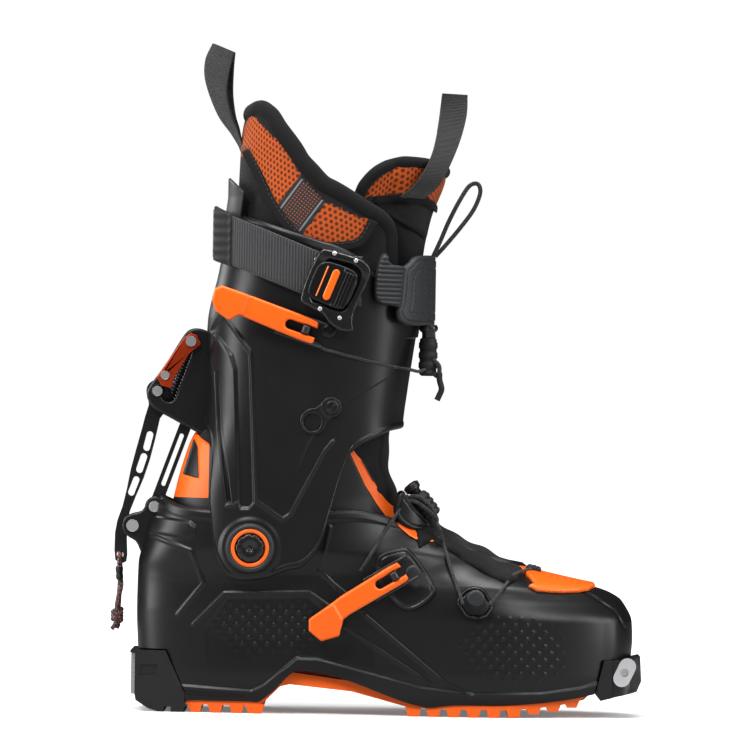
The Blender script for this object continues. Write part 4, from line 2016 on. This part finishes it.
plate("cable_guide_skin", CABLE_GUIDE, (117, 54, 144, 79), 0.4, on_clog_side,
      top=grooved(CABLE_GUIDE, 3.0, depth=1.1, inset=2.0, outer=0.7, inner=0.2),
      bottom=0.0, edge=0.9, mat=SHELL_DARK, owner=("clog", "cable_guide", "black_rubber"))
rivet("cable_guide_rivet_skin", 131.0, 69.0, clog_y, 2.6, 5.3, "clog", "cable_guide_rivet",
      GREY, height=1.5)

# ---------------------------------------------------------------- cables and cord locks
CABLE_RADIUS = 0.95
INSTEP_CABLE = ("clog", "instep_cable", "steel")


def on_clog(pts, count, lift):
    """Line laid on the lateral side of the clog"""
    q = resample(smooth_line(pts), count)
    return np.stack([q[:, 0], clog_y(q[:, 0], np.minimum(q[:, 1], 123), lift), q[:, 1]], 1)


def picked(line, indices):
    return [tuple(line[i]) for i in indices]


def build_instep_cables():
    rear = on_clog([(64,84),(72,97),(82,113.5)], 40, 2.2)
    rear[:, 1] = np.minimum(rear[:, 1], -22)
    path = picked(rear, (0, 12, 26)) + [(86, -33, 119.5), (90.8, -27.5, 127.8)]
    cord("instep_cord_rear", spline(path, 70), CABLE_RADIUS, THIN_CORD, INSTEP_CABLE)

    down = on_clog([(110.6,106),(113,97),(117,84),(121.5,72),(124.5,66.5)], 40, 2.0)
    end = on_clog([(123,66.5),(124,65)], 5, 3.4)
    path = ([(107.5, -24, 113.5), (109.4, -29, 109.5)] + picked(down, (6, 14, 24, 33))
            + picked(end, (2,)))
    cord("instep_cord_front", spline(path, 80), CABLE_RADIUS, THIN_CORD, INSTEP_CABLE)

    start = on_clog([(138,65.5),(139,66.2)], 5, 3.4)
    up = on_clog([(139.6,66.5),(143,70),(148,77),(153,82)], 40, 1.9)
    over = clog_top_z(np.array([152.5, 156.0, 164.5]), np.array([-31.0, -24.0, -11.0]))
    path = picked(start, (2,)) + picked(up, (4, 14, 24)) + [
        (152.5, -31, over[0] + 2.2), (158, -22, over[1] + 2.8), (163.5, -13, over[2] + 3.2)]
    cord("instep_cord_toe", spline(path, 90), CABLE_RADIUS, THIN_CORD, INSTEP_CABLE)


def ribbed(inner, outer, start, end, count):
    """Profile points (radius, station) of count ribs between two stations"""
    out = []
    step = (end - start)/count
    for i in range(count):
        a = start + i*step
        out += [(inner, a), (inner, a + 0.28*step), (outer, a + 0.38*step),
                (outer, a + 0.86*step), (inner, a + 0.98*step)]
    return out


# turned profiles: (radius, station along the axis)
TOE_TOGGLE = [
    (0.01,-4.6),(1.5,-4.4),(2.4,-3.4),(2.5,-1.8),(2.0,-1.4),(2.0,-1.0),(2.6,-0.5),(2.6,0.9),
    (2.0,1.3),(2.0,1.8),(2.5,2.3),(2.2,4.0),(1.2,4.8),(0.01,5.0)]
INSTEP_LOCK = ([(0.01,-8.6),(4.0,-8.6),(5.4,-7.8),(6.2,-6.4)]
               + ribbed(5.7, 6.3, -5.8, 5.2, 3) + [(5.6,6.2),(4.6,7.4),(0.01,7.5)])
INSTEP_BUTTON = ([(3.4,1.8),(3.4,9.8),(4.8,10.8),(5.4,11.8)]
                 + ribbed(5.0, 5.6, 12.0, 14.0, 2) + [(5.0,14.2),(3.5,15.0),(0.01,15.2)])
FRONT_LOCK = ([(0.01,-10.6),(3.8,-10.6),(5.0,-9.8),(5.7,-8.6)]
              + ribbed(5.2, 5.8, -8.0, 9.4, 3) + [(5.2,10.6),(4.2,11.6),(0.01,11.7)])
FRONT_BUTTON = [(3.9,6.5),(3.9,14.6),(5.2,15.6),(5.8,16.6),(5.8,18.0),(5.0,19.2),(0.01,19.5)]


def turned_lock(name, profile, centre, axis, mat, flat, body):
    lathe_axis(name + "_skin", profile, centre, axis, 56, mat, flat,
               (body, name if name.endswith("button") else name + "_body", "black_rubber"))


def build_instep_lock():
    toe_z = float(clog_top_z(np.array([164.0]), np.array([-12.0]))[0])
    lathe_axis("toe_cord_anchor_skin", TOE_TOGGLE, (165, -10.5, toe_z + 3.0), (1, 0.5, -0.25),
               36, RUBBER, (1.0, 0.8), ("clog", "toe_cord_anchor", "black_rubber"))
    lean = math.radians(38)
    axis = (-math.sin(lean), 0, math.cos(lean))
    for name, profile, mat, body in (
            ("instep_lock", INSTEP_LOCK, RUBBER, "clog"),
            ("instep_lock_button", INSTEP_BUTTON, GLOSS, "instep_button_body")):
        turned_lock(name, profile, (101, -22, 122.5), axis, mat, (0.92, 1.1), body)
    for k in range(2):
        path = [(90.0 - 1.2*k, -28.5 - 1.0*k, 126.0 - 1.5*k),
                (94.5, -30.8 - 0.6*k, 127.6 - 3*k), (99.5, -31.6, 126.0 - 4*k),
                (105, -29.5, 120.5 - 3*k), (108.3, -25.5, 114.0 - 1.0*k)]
        cord("instep_lock_cord_%d" % k, spline(path, 34), 1.1, THIN_CORD,
             ("clog", "instep_cable", "cord"))


# name, path, path points, radius, profile sides, material, finish slot
FRONT_CORDS = [
    ("front_lock_cord_a", [(100,-18,224),(101.5,-20.5,228),(103.6,-17,225),(104.6,-12,221),
                           (104.4,-9,216)], 40, 1.1, 12, THIN_CORD, "cord"),
    ("front_lock_cord_b", [(104.5,-16,199),(107.5,-18,197.5),(108,-18.5,203),(104.5,-17,207)],
     40, 1.3, 12, THIN_CORD, "cord"),
    ("front_tag_cord", [(107,-18.5,206),(108.6,-19,202),(108.4,-19,198.5)],
     30, 0.6, 10, THIN_CORD, "cord"),
    ("front_tag", [(108.2,-19,199.5),(108.4,-19,195),(109.6,-19.2,190),(108.2,-19,186),
                   (107.0,-19,183.4)], 40, 1.7, 16, RUBBER, "black_rubber")]
LACE_LOOP = [
    (103.0,-12,266.0),(107.5,-14,276),(112.5,-15.5,288),(118.5,-16,300),(124.0,-16.5,308.5),
    (128.8,-16.5,309.8),(130.4,-16,304.8),(126.8,-15.5,295.0),(119.0,-14.5,284.0),
    (110.5,-13,273.6),(104.8,-11.5,267.2)]


def build_front_lock():
    for name, profile, mat, body in (
            ("front_lock", FRONT_LOCK, RUBBER, "cuff"),
            ("front_lock_button", FRONT_BUTTON, GLOSS, "front_button_body")):
        turned_lock(name, profile, (101.5, -14, 208), (0, 0, 1), mat, (0.95, 0.85), body)
    line = resample(smooth_line([(38.2,212.8),(52,209),(68,205.2),(84,202.0)]), 50)
    path = [(34.5, -56.0, 216.0)]
    path += [(float(x), float(cuff_y(x, z, 2.0)), float(z)) for x, z in line[3:]]
    path += [(91.5, -33.5, 200.8), (96, -24, 200.0), (100.0, -17.8, 201.4)]
    cord("cuff_cord", spline(path, 120), CABLE_RADIUS, THIN_CORD,
         ("cuff", "cuff_cable", "steel"))
    for name, path, count, radius, sides, mat, finish in FRONT_CORDS:
        cord(name, spline(path, count), radius, mat, ("cuff", "cuff_cable", finish), sides)
    # thin loop standing up from the pad
    sweep("lace_loop", spline(LACE_LOOP, 150), section(1.25, 0.5), SIDEWAYS, THIN_CORD,
          ("cuff", "strap_pad", "cord"))


build_instep_cables()
build_instep_lock()
build_front_lock()


# ---------------------------------------------------------------- gaiter, toe trim and flap
def to_plan(pts):
    """Side-view points on the clog's lateral surface, seen from above as (x, y)"""
    return [(x, float(clog_y(x, z))) for x, z in pts]


def with_mirror(pts):
    return pts + [(x, -y + float(PLAN_SHIFT(x))) for x, y in pts[::-1]]


GAITER_PLAN = polygon(with_mirror(
    [(88,-10),(92,-22),(98,-34)]
    + to_plan([(105.6,101.3),(113,97),(122.2,91.5),(131,86.2),(139.9,81.3),(150,77)])
    + [(154,-32),(157,-25),(159,-10)]))
TOE_TRIM_PLAN = polygon(with_mirror(
    [(155.5,-20)]
    + to_plan([(157,84.5),(162.3,80.0),(165.1,76.8),(161.4,75.5),(166.6,73.2),(175,72.6),
               (182.5,72.3),(191,72.6),(197,73.4)])
    + [(201,-8)]))
FLAP = polygon(smooth_loop([
    (86.4,131.5),(82.2,121.4),(84.2,113.2),(92.6,107.4),(102,107.4),(105,110.5),(99,117),
    (92.0,123.0)]))
FLAP_TRIM = polygon(smooth_loop([
    (84.0,112.5),(86.5,109.0),(94.2,102.9),(101,101.2),(108.0,101.2),(105.5,107.6),(96,108),
    (90,112)], 1))


def gaiter_folds(x, y):
    return 2.1 + 0.55*np.sin(x/2.6 + 0.4*np.sin(y/8)) + 0.35*np.sin(y/3.7 + x/9)


def trim_top(x, y):
    """Four rows of seven dimples each side of y = 2"""
    dist = np.minimum.reduce([np.hypot(x - (168 + 4.2*i), np.abs(y - 2) - (3 + 5.0*j))
                              for i in range(7) for j in range(4)])
    return 2.5 - 0.8*ease(-dist, -0.9, -0.4)*ease(-x, -196, -190)


def on_flap(side):
    def place(x, z, h):
        t = np.clip((x - 82)/27, 0, 1)
        y = np.sqrt(np.maximum(0.0, 1 - t**1.7))*31 + 1.0
        return x + 0.45*h, side*(y + 0.85*h), z + 0.2*h
    return place


def on_flap_trim(side):
    return lambda x, z, h: (x, side*np.maximum(-clog_y(x, np.minimum(z, 118), h), 3), z)


plate("instep_gaiter_skin", GAITER_PLAN, (86, -48, 161, 48), 0.9, on_clog_top,
      top=gaiter_folds, bottom=0.2, edge=1.6, mat=GAITER,
      owner=("clog", "instep_gaiter", "gaiter_fabric"))
plate("toe_trim_skin", TOE_TRIM_PLAN, (150, -42, 204, 46), 0.55, on_clog_top, top=trim_top,
      bottom=0.2, edge=0.9, mat=ORANGE, owner=("clog", "toe_gaiter_trim", "orange_plastic"))
for side, end in SIDES:
    plate("instep_flap_" + end, FLAP, (80, 104, 111, 134), 0.5, on_flap(side),
          top=grooved(FLAP, 2.4, depth=0.5, inset=2.2, outer=0.6, inner=0.1), bottom=-0.6,
          edge=1.1, mat=SHELL_DARK, owner=("clog", "instep_gaiter", "shell_black"))
for side, end in SIDES:
    plate("flap_trim_" + end, FLAP_TRIM, (80, 98, 111, 116), 0.5, on_flap_trim(side), top=1.5,
          bottom=-0.4, edge=0.6, mat=ORANGE, owner=("clog", "lower_shell", "orange_plastic"))

# ---------------------------------------------------------------- walk lever group
for entry in (("walk_lever", GLOSS, 0.7, 3), ("link_plate", RUST, 0.4, 2),
              ("lean_strut", GLOSS, 0.6, 3), ("lever_bolts", BRIGHT, 0.35, 2),
              ("latch_pin", BRIGHT, 0.35, 2), ("strut_pin", BRIGHT, 0.35, 2)):
    refinish(*entry)


def build_spring():
    turns, coil_radius, end_gap = 16.5, 3.0, 4.0
    top, foot = [np.array([x, 0, z]) for x, z in (SPRING_TOP, SPRING_FOOT)]
    length = np.linalg.norm(foot - top)
    axis = (foot - top)/length
    t = np.linspace(0, 1, 560)
    angle = TURN*turns*t
    e1 = np.array([0, 1, 0])
    e2 = np.cross(axis, e1)
    path = (top + axis*(end_gap + (length - 2*end_gap)*t)[:, None]
            + coil_radius*(np.cos(angle)[:, None]*e1 + np.sin(angle)[:, None]*e2))
    coil = sweep("lever_spring_skin", path, section(0.82, 0.82), axis, SPRING_STEEL)
    path = np.array([top + axis*k for k in np.linspace(2.5, length - 2.5, 20)])
    core = sweep("lever_spring_core", path, section(1.35, 1.35, 16), SIDEWAYS, STEEL)
    for obj in (coil, core):
        tell(obj, (None, "lever_spring", "steel"))
        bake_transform(obj)


build_spring()
# the collar and the liner ankle bend with the cuff
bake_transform(collar)
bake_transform(flex)


# ---------------------------------------------------------------- heel pull cord
def build_pull():
    """Eye, slider, two strands, a knot and two tails"""
    x, z = HEEL_CORD
    owner = ("cord_body", "pull_cord", "cord")
    up = (1, 0, 0.1)

    def strand(name, path, count, radius):
        cord(name, spline(path, count), radius, CORD, owner, up=up)
    strand("heel_cord_eye",
           [(x, -4.8, z-7), (x-0.2, -5.4, z-3), (x, -4.6, z), (x, 0, z+0.9), (x, 4.6, z),
            (x-0.2, 5.4, z-3), (x, 4.8, z-7)], 60, 1.35)
    lathe_axis("heel_cord_slider",
               [(0.01,-4.0),(3.4,-4.0),(4.1,-3.2),(4.3,-1.6),(3.7,-0.4),(4.2,0.9),(4.4,2.6),
                (3.8,3.8),(2.4,4.2),(0.01,4.2)],
               (x-0.2, 0, 79.4), (-0.05, 0, 1), 40, RUBBER, (0.5, 1.3), owner)
    for s, end in ((-1, "a"), (1, "b")):
        strand("heel_cord_strand_" + end,
               [(x+0.3, s*1.7, 78), (x+0.5-0.4*s, s*1.9, 72), (x-0.3, s*2.3, 66),
                (x-0.9+0.3*s, s*1.9, 60), (x-1.3, s*1.5, 55.5)], 60, 1.45)
    # the knot is a wound coil
    radius, height, winds = 2.3, 6.4, 3.2
    t = np.linspace(0, 1, 120)
    angle = TURN*winds*t
    path = np.stack([x - 1.2 + radius*np.cos(angle)*(1 + 0.15*np.sin(3*angle)),
                     radius*1.05*np.sin(angle),
                     54.4 + height*(0.5 - t) + 0.8*np.sin(2*angle)], 1)
    cord("heel_cord_knot", path, 1.4, CORD, owner, up=(0, 0, 1))
    strand("heel_cord_tail_a", [(x-1.4, -1.2, 52), (x-2.4, -1.8, 49), (x-4.2, -2.0, 46.2)],
           24, 1.3)
    strand("heel_cord_tail_b", [(x-0.8, 1.2, 52), (x-0.6, 2.0, 49), (x-1.4, 2.4, 46.8)],
           24, 1.3)


build_pull()

# ---------------------------------------------------------------- inside of the boot
# over x: lower edge of the foot liner, top of the footbed
FOOT_BOTTOM = curve([(-70,35.4),(28,35.4),(100,21.6),(150,18.1),(184,19.6),(192,26),(199,42),
                     (225,44)])
FOOTBED_TOP = curve([(-50,45.2),(28,45.2),(60,38.5),(100,31),(150,27.4),(176,28),(190,31)])
# over the angle from the front
FOOT_TOP = curve([(0,92),(12,92.5),(20,95),(30,99),(40,100),(180,100)])


def build_foot_liner():
    def surface(inset, lift):
        def point(angle, s):
            probe = clog_point(angle, np.full(angle.shape, 36.0), inset)
            low = FOOT_BOTTOM(probe[:, 0]) + lift
            around = fold(angle)
            high = np.minimum(100, FOOT_TOP(around)) - np.where(around < 30, inset*0.5, 0)
            return clog_point(angle, low + (high - low)*s, inset)
        return point
    outer = rings(surface(5.9, 0.4), 50, 240)
    inner = rings(surface(10.9, 5), 50, 240)
    inner = displaced(inner, 0.5*np.sin(inner[..., 0]/7.0)*np.sin(inner[..., 2]/9.0))
    shell("liner_foot_skin", outer, inner, CLOTH, ("clog", "liner_foot", "liner_fabric"))


def build_footbed():
    x = np.linspace(-50, 186, 140)
    half = clog_half(x, np.full(x.shape, 44.0)) - 13.5
    top = []
    for f in np.linspace(-1, 1, 40):
        y = f*half + PLAN_SHIFT(x)
        # cupped heel and a faint ripple
        cup = 3.0*np.abs(f)**3*ease(-x, -70, 30) + 0.35*np.sin(x/6)*np.sin(y/5)*0.3
        top.append(np.stack([x, y, FOOTBED_TOP(x) + cup], 1))
    top = np.array(top)
    m, n = top.shape[:2]
    q = m*n
    top = top.reshape(-1, 3)
    faces = []
    for j in range(m - 1):
        for i in range(n - 1):
            a, b, c, d = j*n + i, j*n + i + 1, (j+1)*n + i + 1, (j+1)*n + i
            faces += [(a, b, c, d), (q+d, q+c, q+b, q+a)]
    for i in range(n - 1):
        a = (m-1)*n + i
        faces += [(i+1, i, q+i, q+i+1), (a, a+1, q+a+1, q+a)]
    for j in range(m - 1):
        a, b = j*n, (j+1)*n
        faces.append((a, b, q+b, q+a))
        a, b = a + n - 1, b + n - 1
        faces.append((b, a, q+a, q+b))
    add_mesh("footbed_skin", np.vstack([top, top - np.array([0, 0, 4.0])]), faces, FELT,
             ("clog", "footbed", "footbed_foam"))


build_foot_liner()
build_footbed()


# ---------------------------------------------------------------- stage, light, camera
def floor_pale():
    """Pale floor that glows, for the camera only, away from the boot, so that it runs
    into the white background; in other rays it is darker."""
    sh = Shader("floor_pale")
    tone = sh.noise(scale=3.0, detail=4, rough=0.6)
    parts = sh.split(sh.coord("Object"))
    dx = sh.math("POWER", sh.sub(parts[0], 0.07), 2.0)
    radius = sh.math("SQRT", sh.add(dx, sh.math("POWER", parts[1], 2.0)))
    # from radius 0.25 m to 1.1 m the glow goes from 0.22 to 1.05
    glow = sh.map_range(radius, (0.25, 1.1, 0.22, 1.05))
    seen = sh.node("ShaderNodeLightPath").outputs["Is Camera Ray"]
    pale = sh.mix(tone, (0.86, 0.86, 0.865), (0.90, 0.90, 0.905))
    sh.set(Base_Color=sh.mix(seen, (0.42, 0.42, 0.425), pale), Roughness=0.6,
           Emission_Color=(1.0, 1.0, 1.0), Emission_Strength=sh.mul(glow, seen),
           Specular_IOR_Level=0.2,
           Normal=sh.bump(sh.noise(scale=260, detail=3), strength=0.02, dist=0.0002))
    return sh.material


def build_floor():
    """Disc of 24 rings, closer together near the boot"""
    radius, count, spokes = 6000.0, 24, 48
    verts, faces = [], []
    for i in range(count + 1):
        r = radius*(i/count)**1.6
        for k in range(spokes):
            angle = k*TURN/spokes
            verts.append((70 + r*math.cos(angle), r*math.sin(angle), 0.0))
        if i:
            a, b = (i-1)*spokes, i*spokes
            faces += [(a+k, b+k, b + (k+1) % spokes, a + (k+1) % spokes)
                      for k in range(spokes)]
    add_mesh("floor", verts, faces, floor_pale())


def build_world():
    """Dim light for the boot, plain white for the camera"""
    scene = bpy.context.scene
    world = bpy.data.worlds.new("studio") if scene.world is None else scene.world
    scene.world = world
    world.use_nodes = True
    nodes, wires = world.node_tree.nodes, world.node_tree.links
    nodes.clear()
    output = nodes.new("ShaderNodeOutputWorld")
    mix = nodes.new("ShaderNodeMixShader")
    path = nodes.new("ShaderNodeLightPath")
    wires.new(path.outputs["Is Camera Ray"], mix.inputs[0])
    # mix input, colour, strength
    for socket, colour, strength in ((1, (0.97, 0.98, 1.0, 1), 0.06), (2, (1, 1, 1, 1), 1.0)):
        background = nodes.new("ShaderNodeBackground")
        background.inputs[0].default_value = colour
        background.inputs[1].default_value = strength
        wires.new(background.outputs[0], mix.inputs[socket])
    wires.new(mix.outputs[0], output.inputs[0])


# name, place and aim (m), width and height (m), power (W)
LIGHTS = [
    ("key", (-0.75, -1.35, 1.55), (0.06, 0, 0.2), 0.7, 0.7, 29),
    ("fill", (1.1, -1.5, 1.25), (0.08, 0, 0.15), 0.8, 0.8, 15),
    ("strip_left", (-1.25, -0.30, 0.45), (0.0, 0, 0.2), 0.45, 1.2, 14),
    ("strip_right", (1.35, -0.55, 0.5), (0.1, 0, 0.15), 0.35, 1.2, 10),
    ("top", (0.15, -0.15, 1.6), (0.1, 0, 0.1), 1.2, 0.7, 26),
    ("rim", (-1.1, 1.2, 0.9), (0.0, 0, 0.2), 0.7, 1.2, 10)]


def build_lights():
    for name, place, aim, width, height, power in LIGHTS:
        light = bpy.data.lights.new(name, "AREA")
        light.energy = power
        light.color = (1, 1, 1)
        light.shape = "RECTANGLE"
        light.size = width
        light.size_y = height
        obj = bpy.data.objects.new(name, light)
        bpy.context.scene.collection.objects.link(obj)
        obj.location = place
        obj.rotation_euler = (Vector(aim) - Vector(place)).to_track_quat("-Z", "Y").to_euler()


def build_camera():
    """Long lens looking at the lateral side, with a slight roll"""
    scene = bpy.context.scene
    camera = bpy.data.cameras.new("camera")
    obj = bpy.data.objects.new("camera", camera)
    scene.collection.objects.link(obj)
    camera.sensor_width = 36.0
    camera.lens = 286.7
    camera.clip_start = 0.1
    camera.clip_end = 50
    obj.location = (0.0707, -3.5, 0.1975)
    obj.rotation_euler = (math.radians(90), math.radians(-0.9), 0)
    scene.camera = obj
    scene.view_settings.view_transform = "Standard"
    scene.view_settings.look = "None"
    scene.view_settings.gamma = 0.86


build_floor()
build_world()
build_lights()
build_camera()
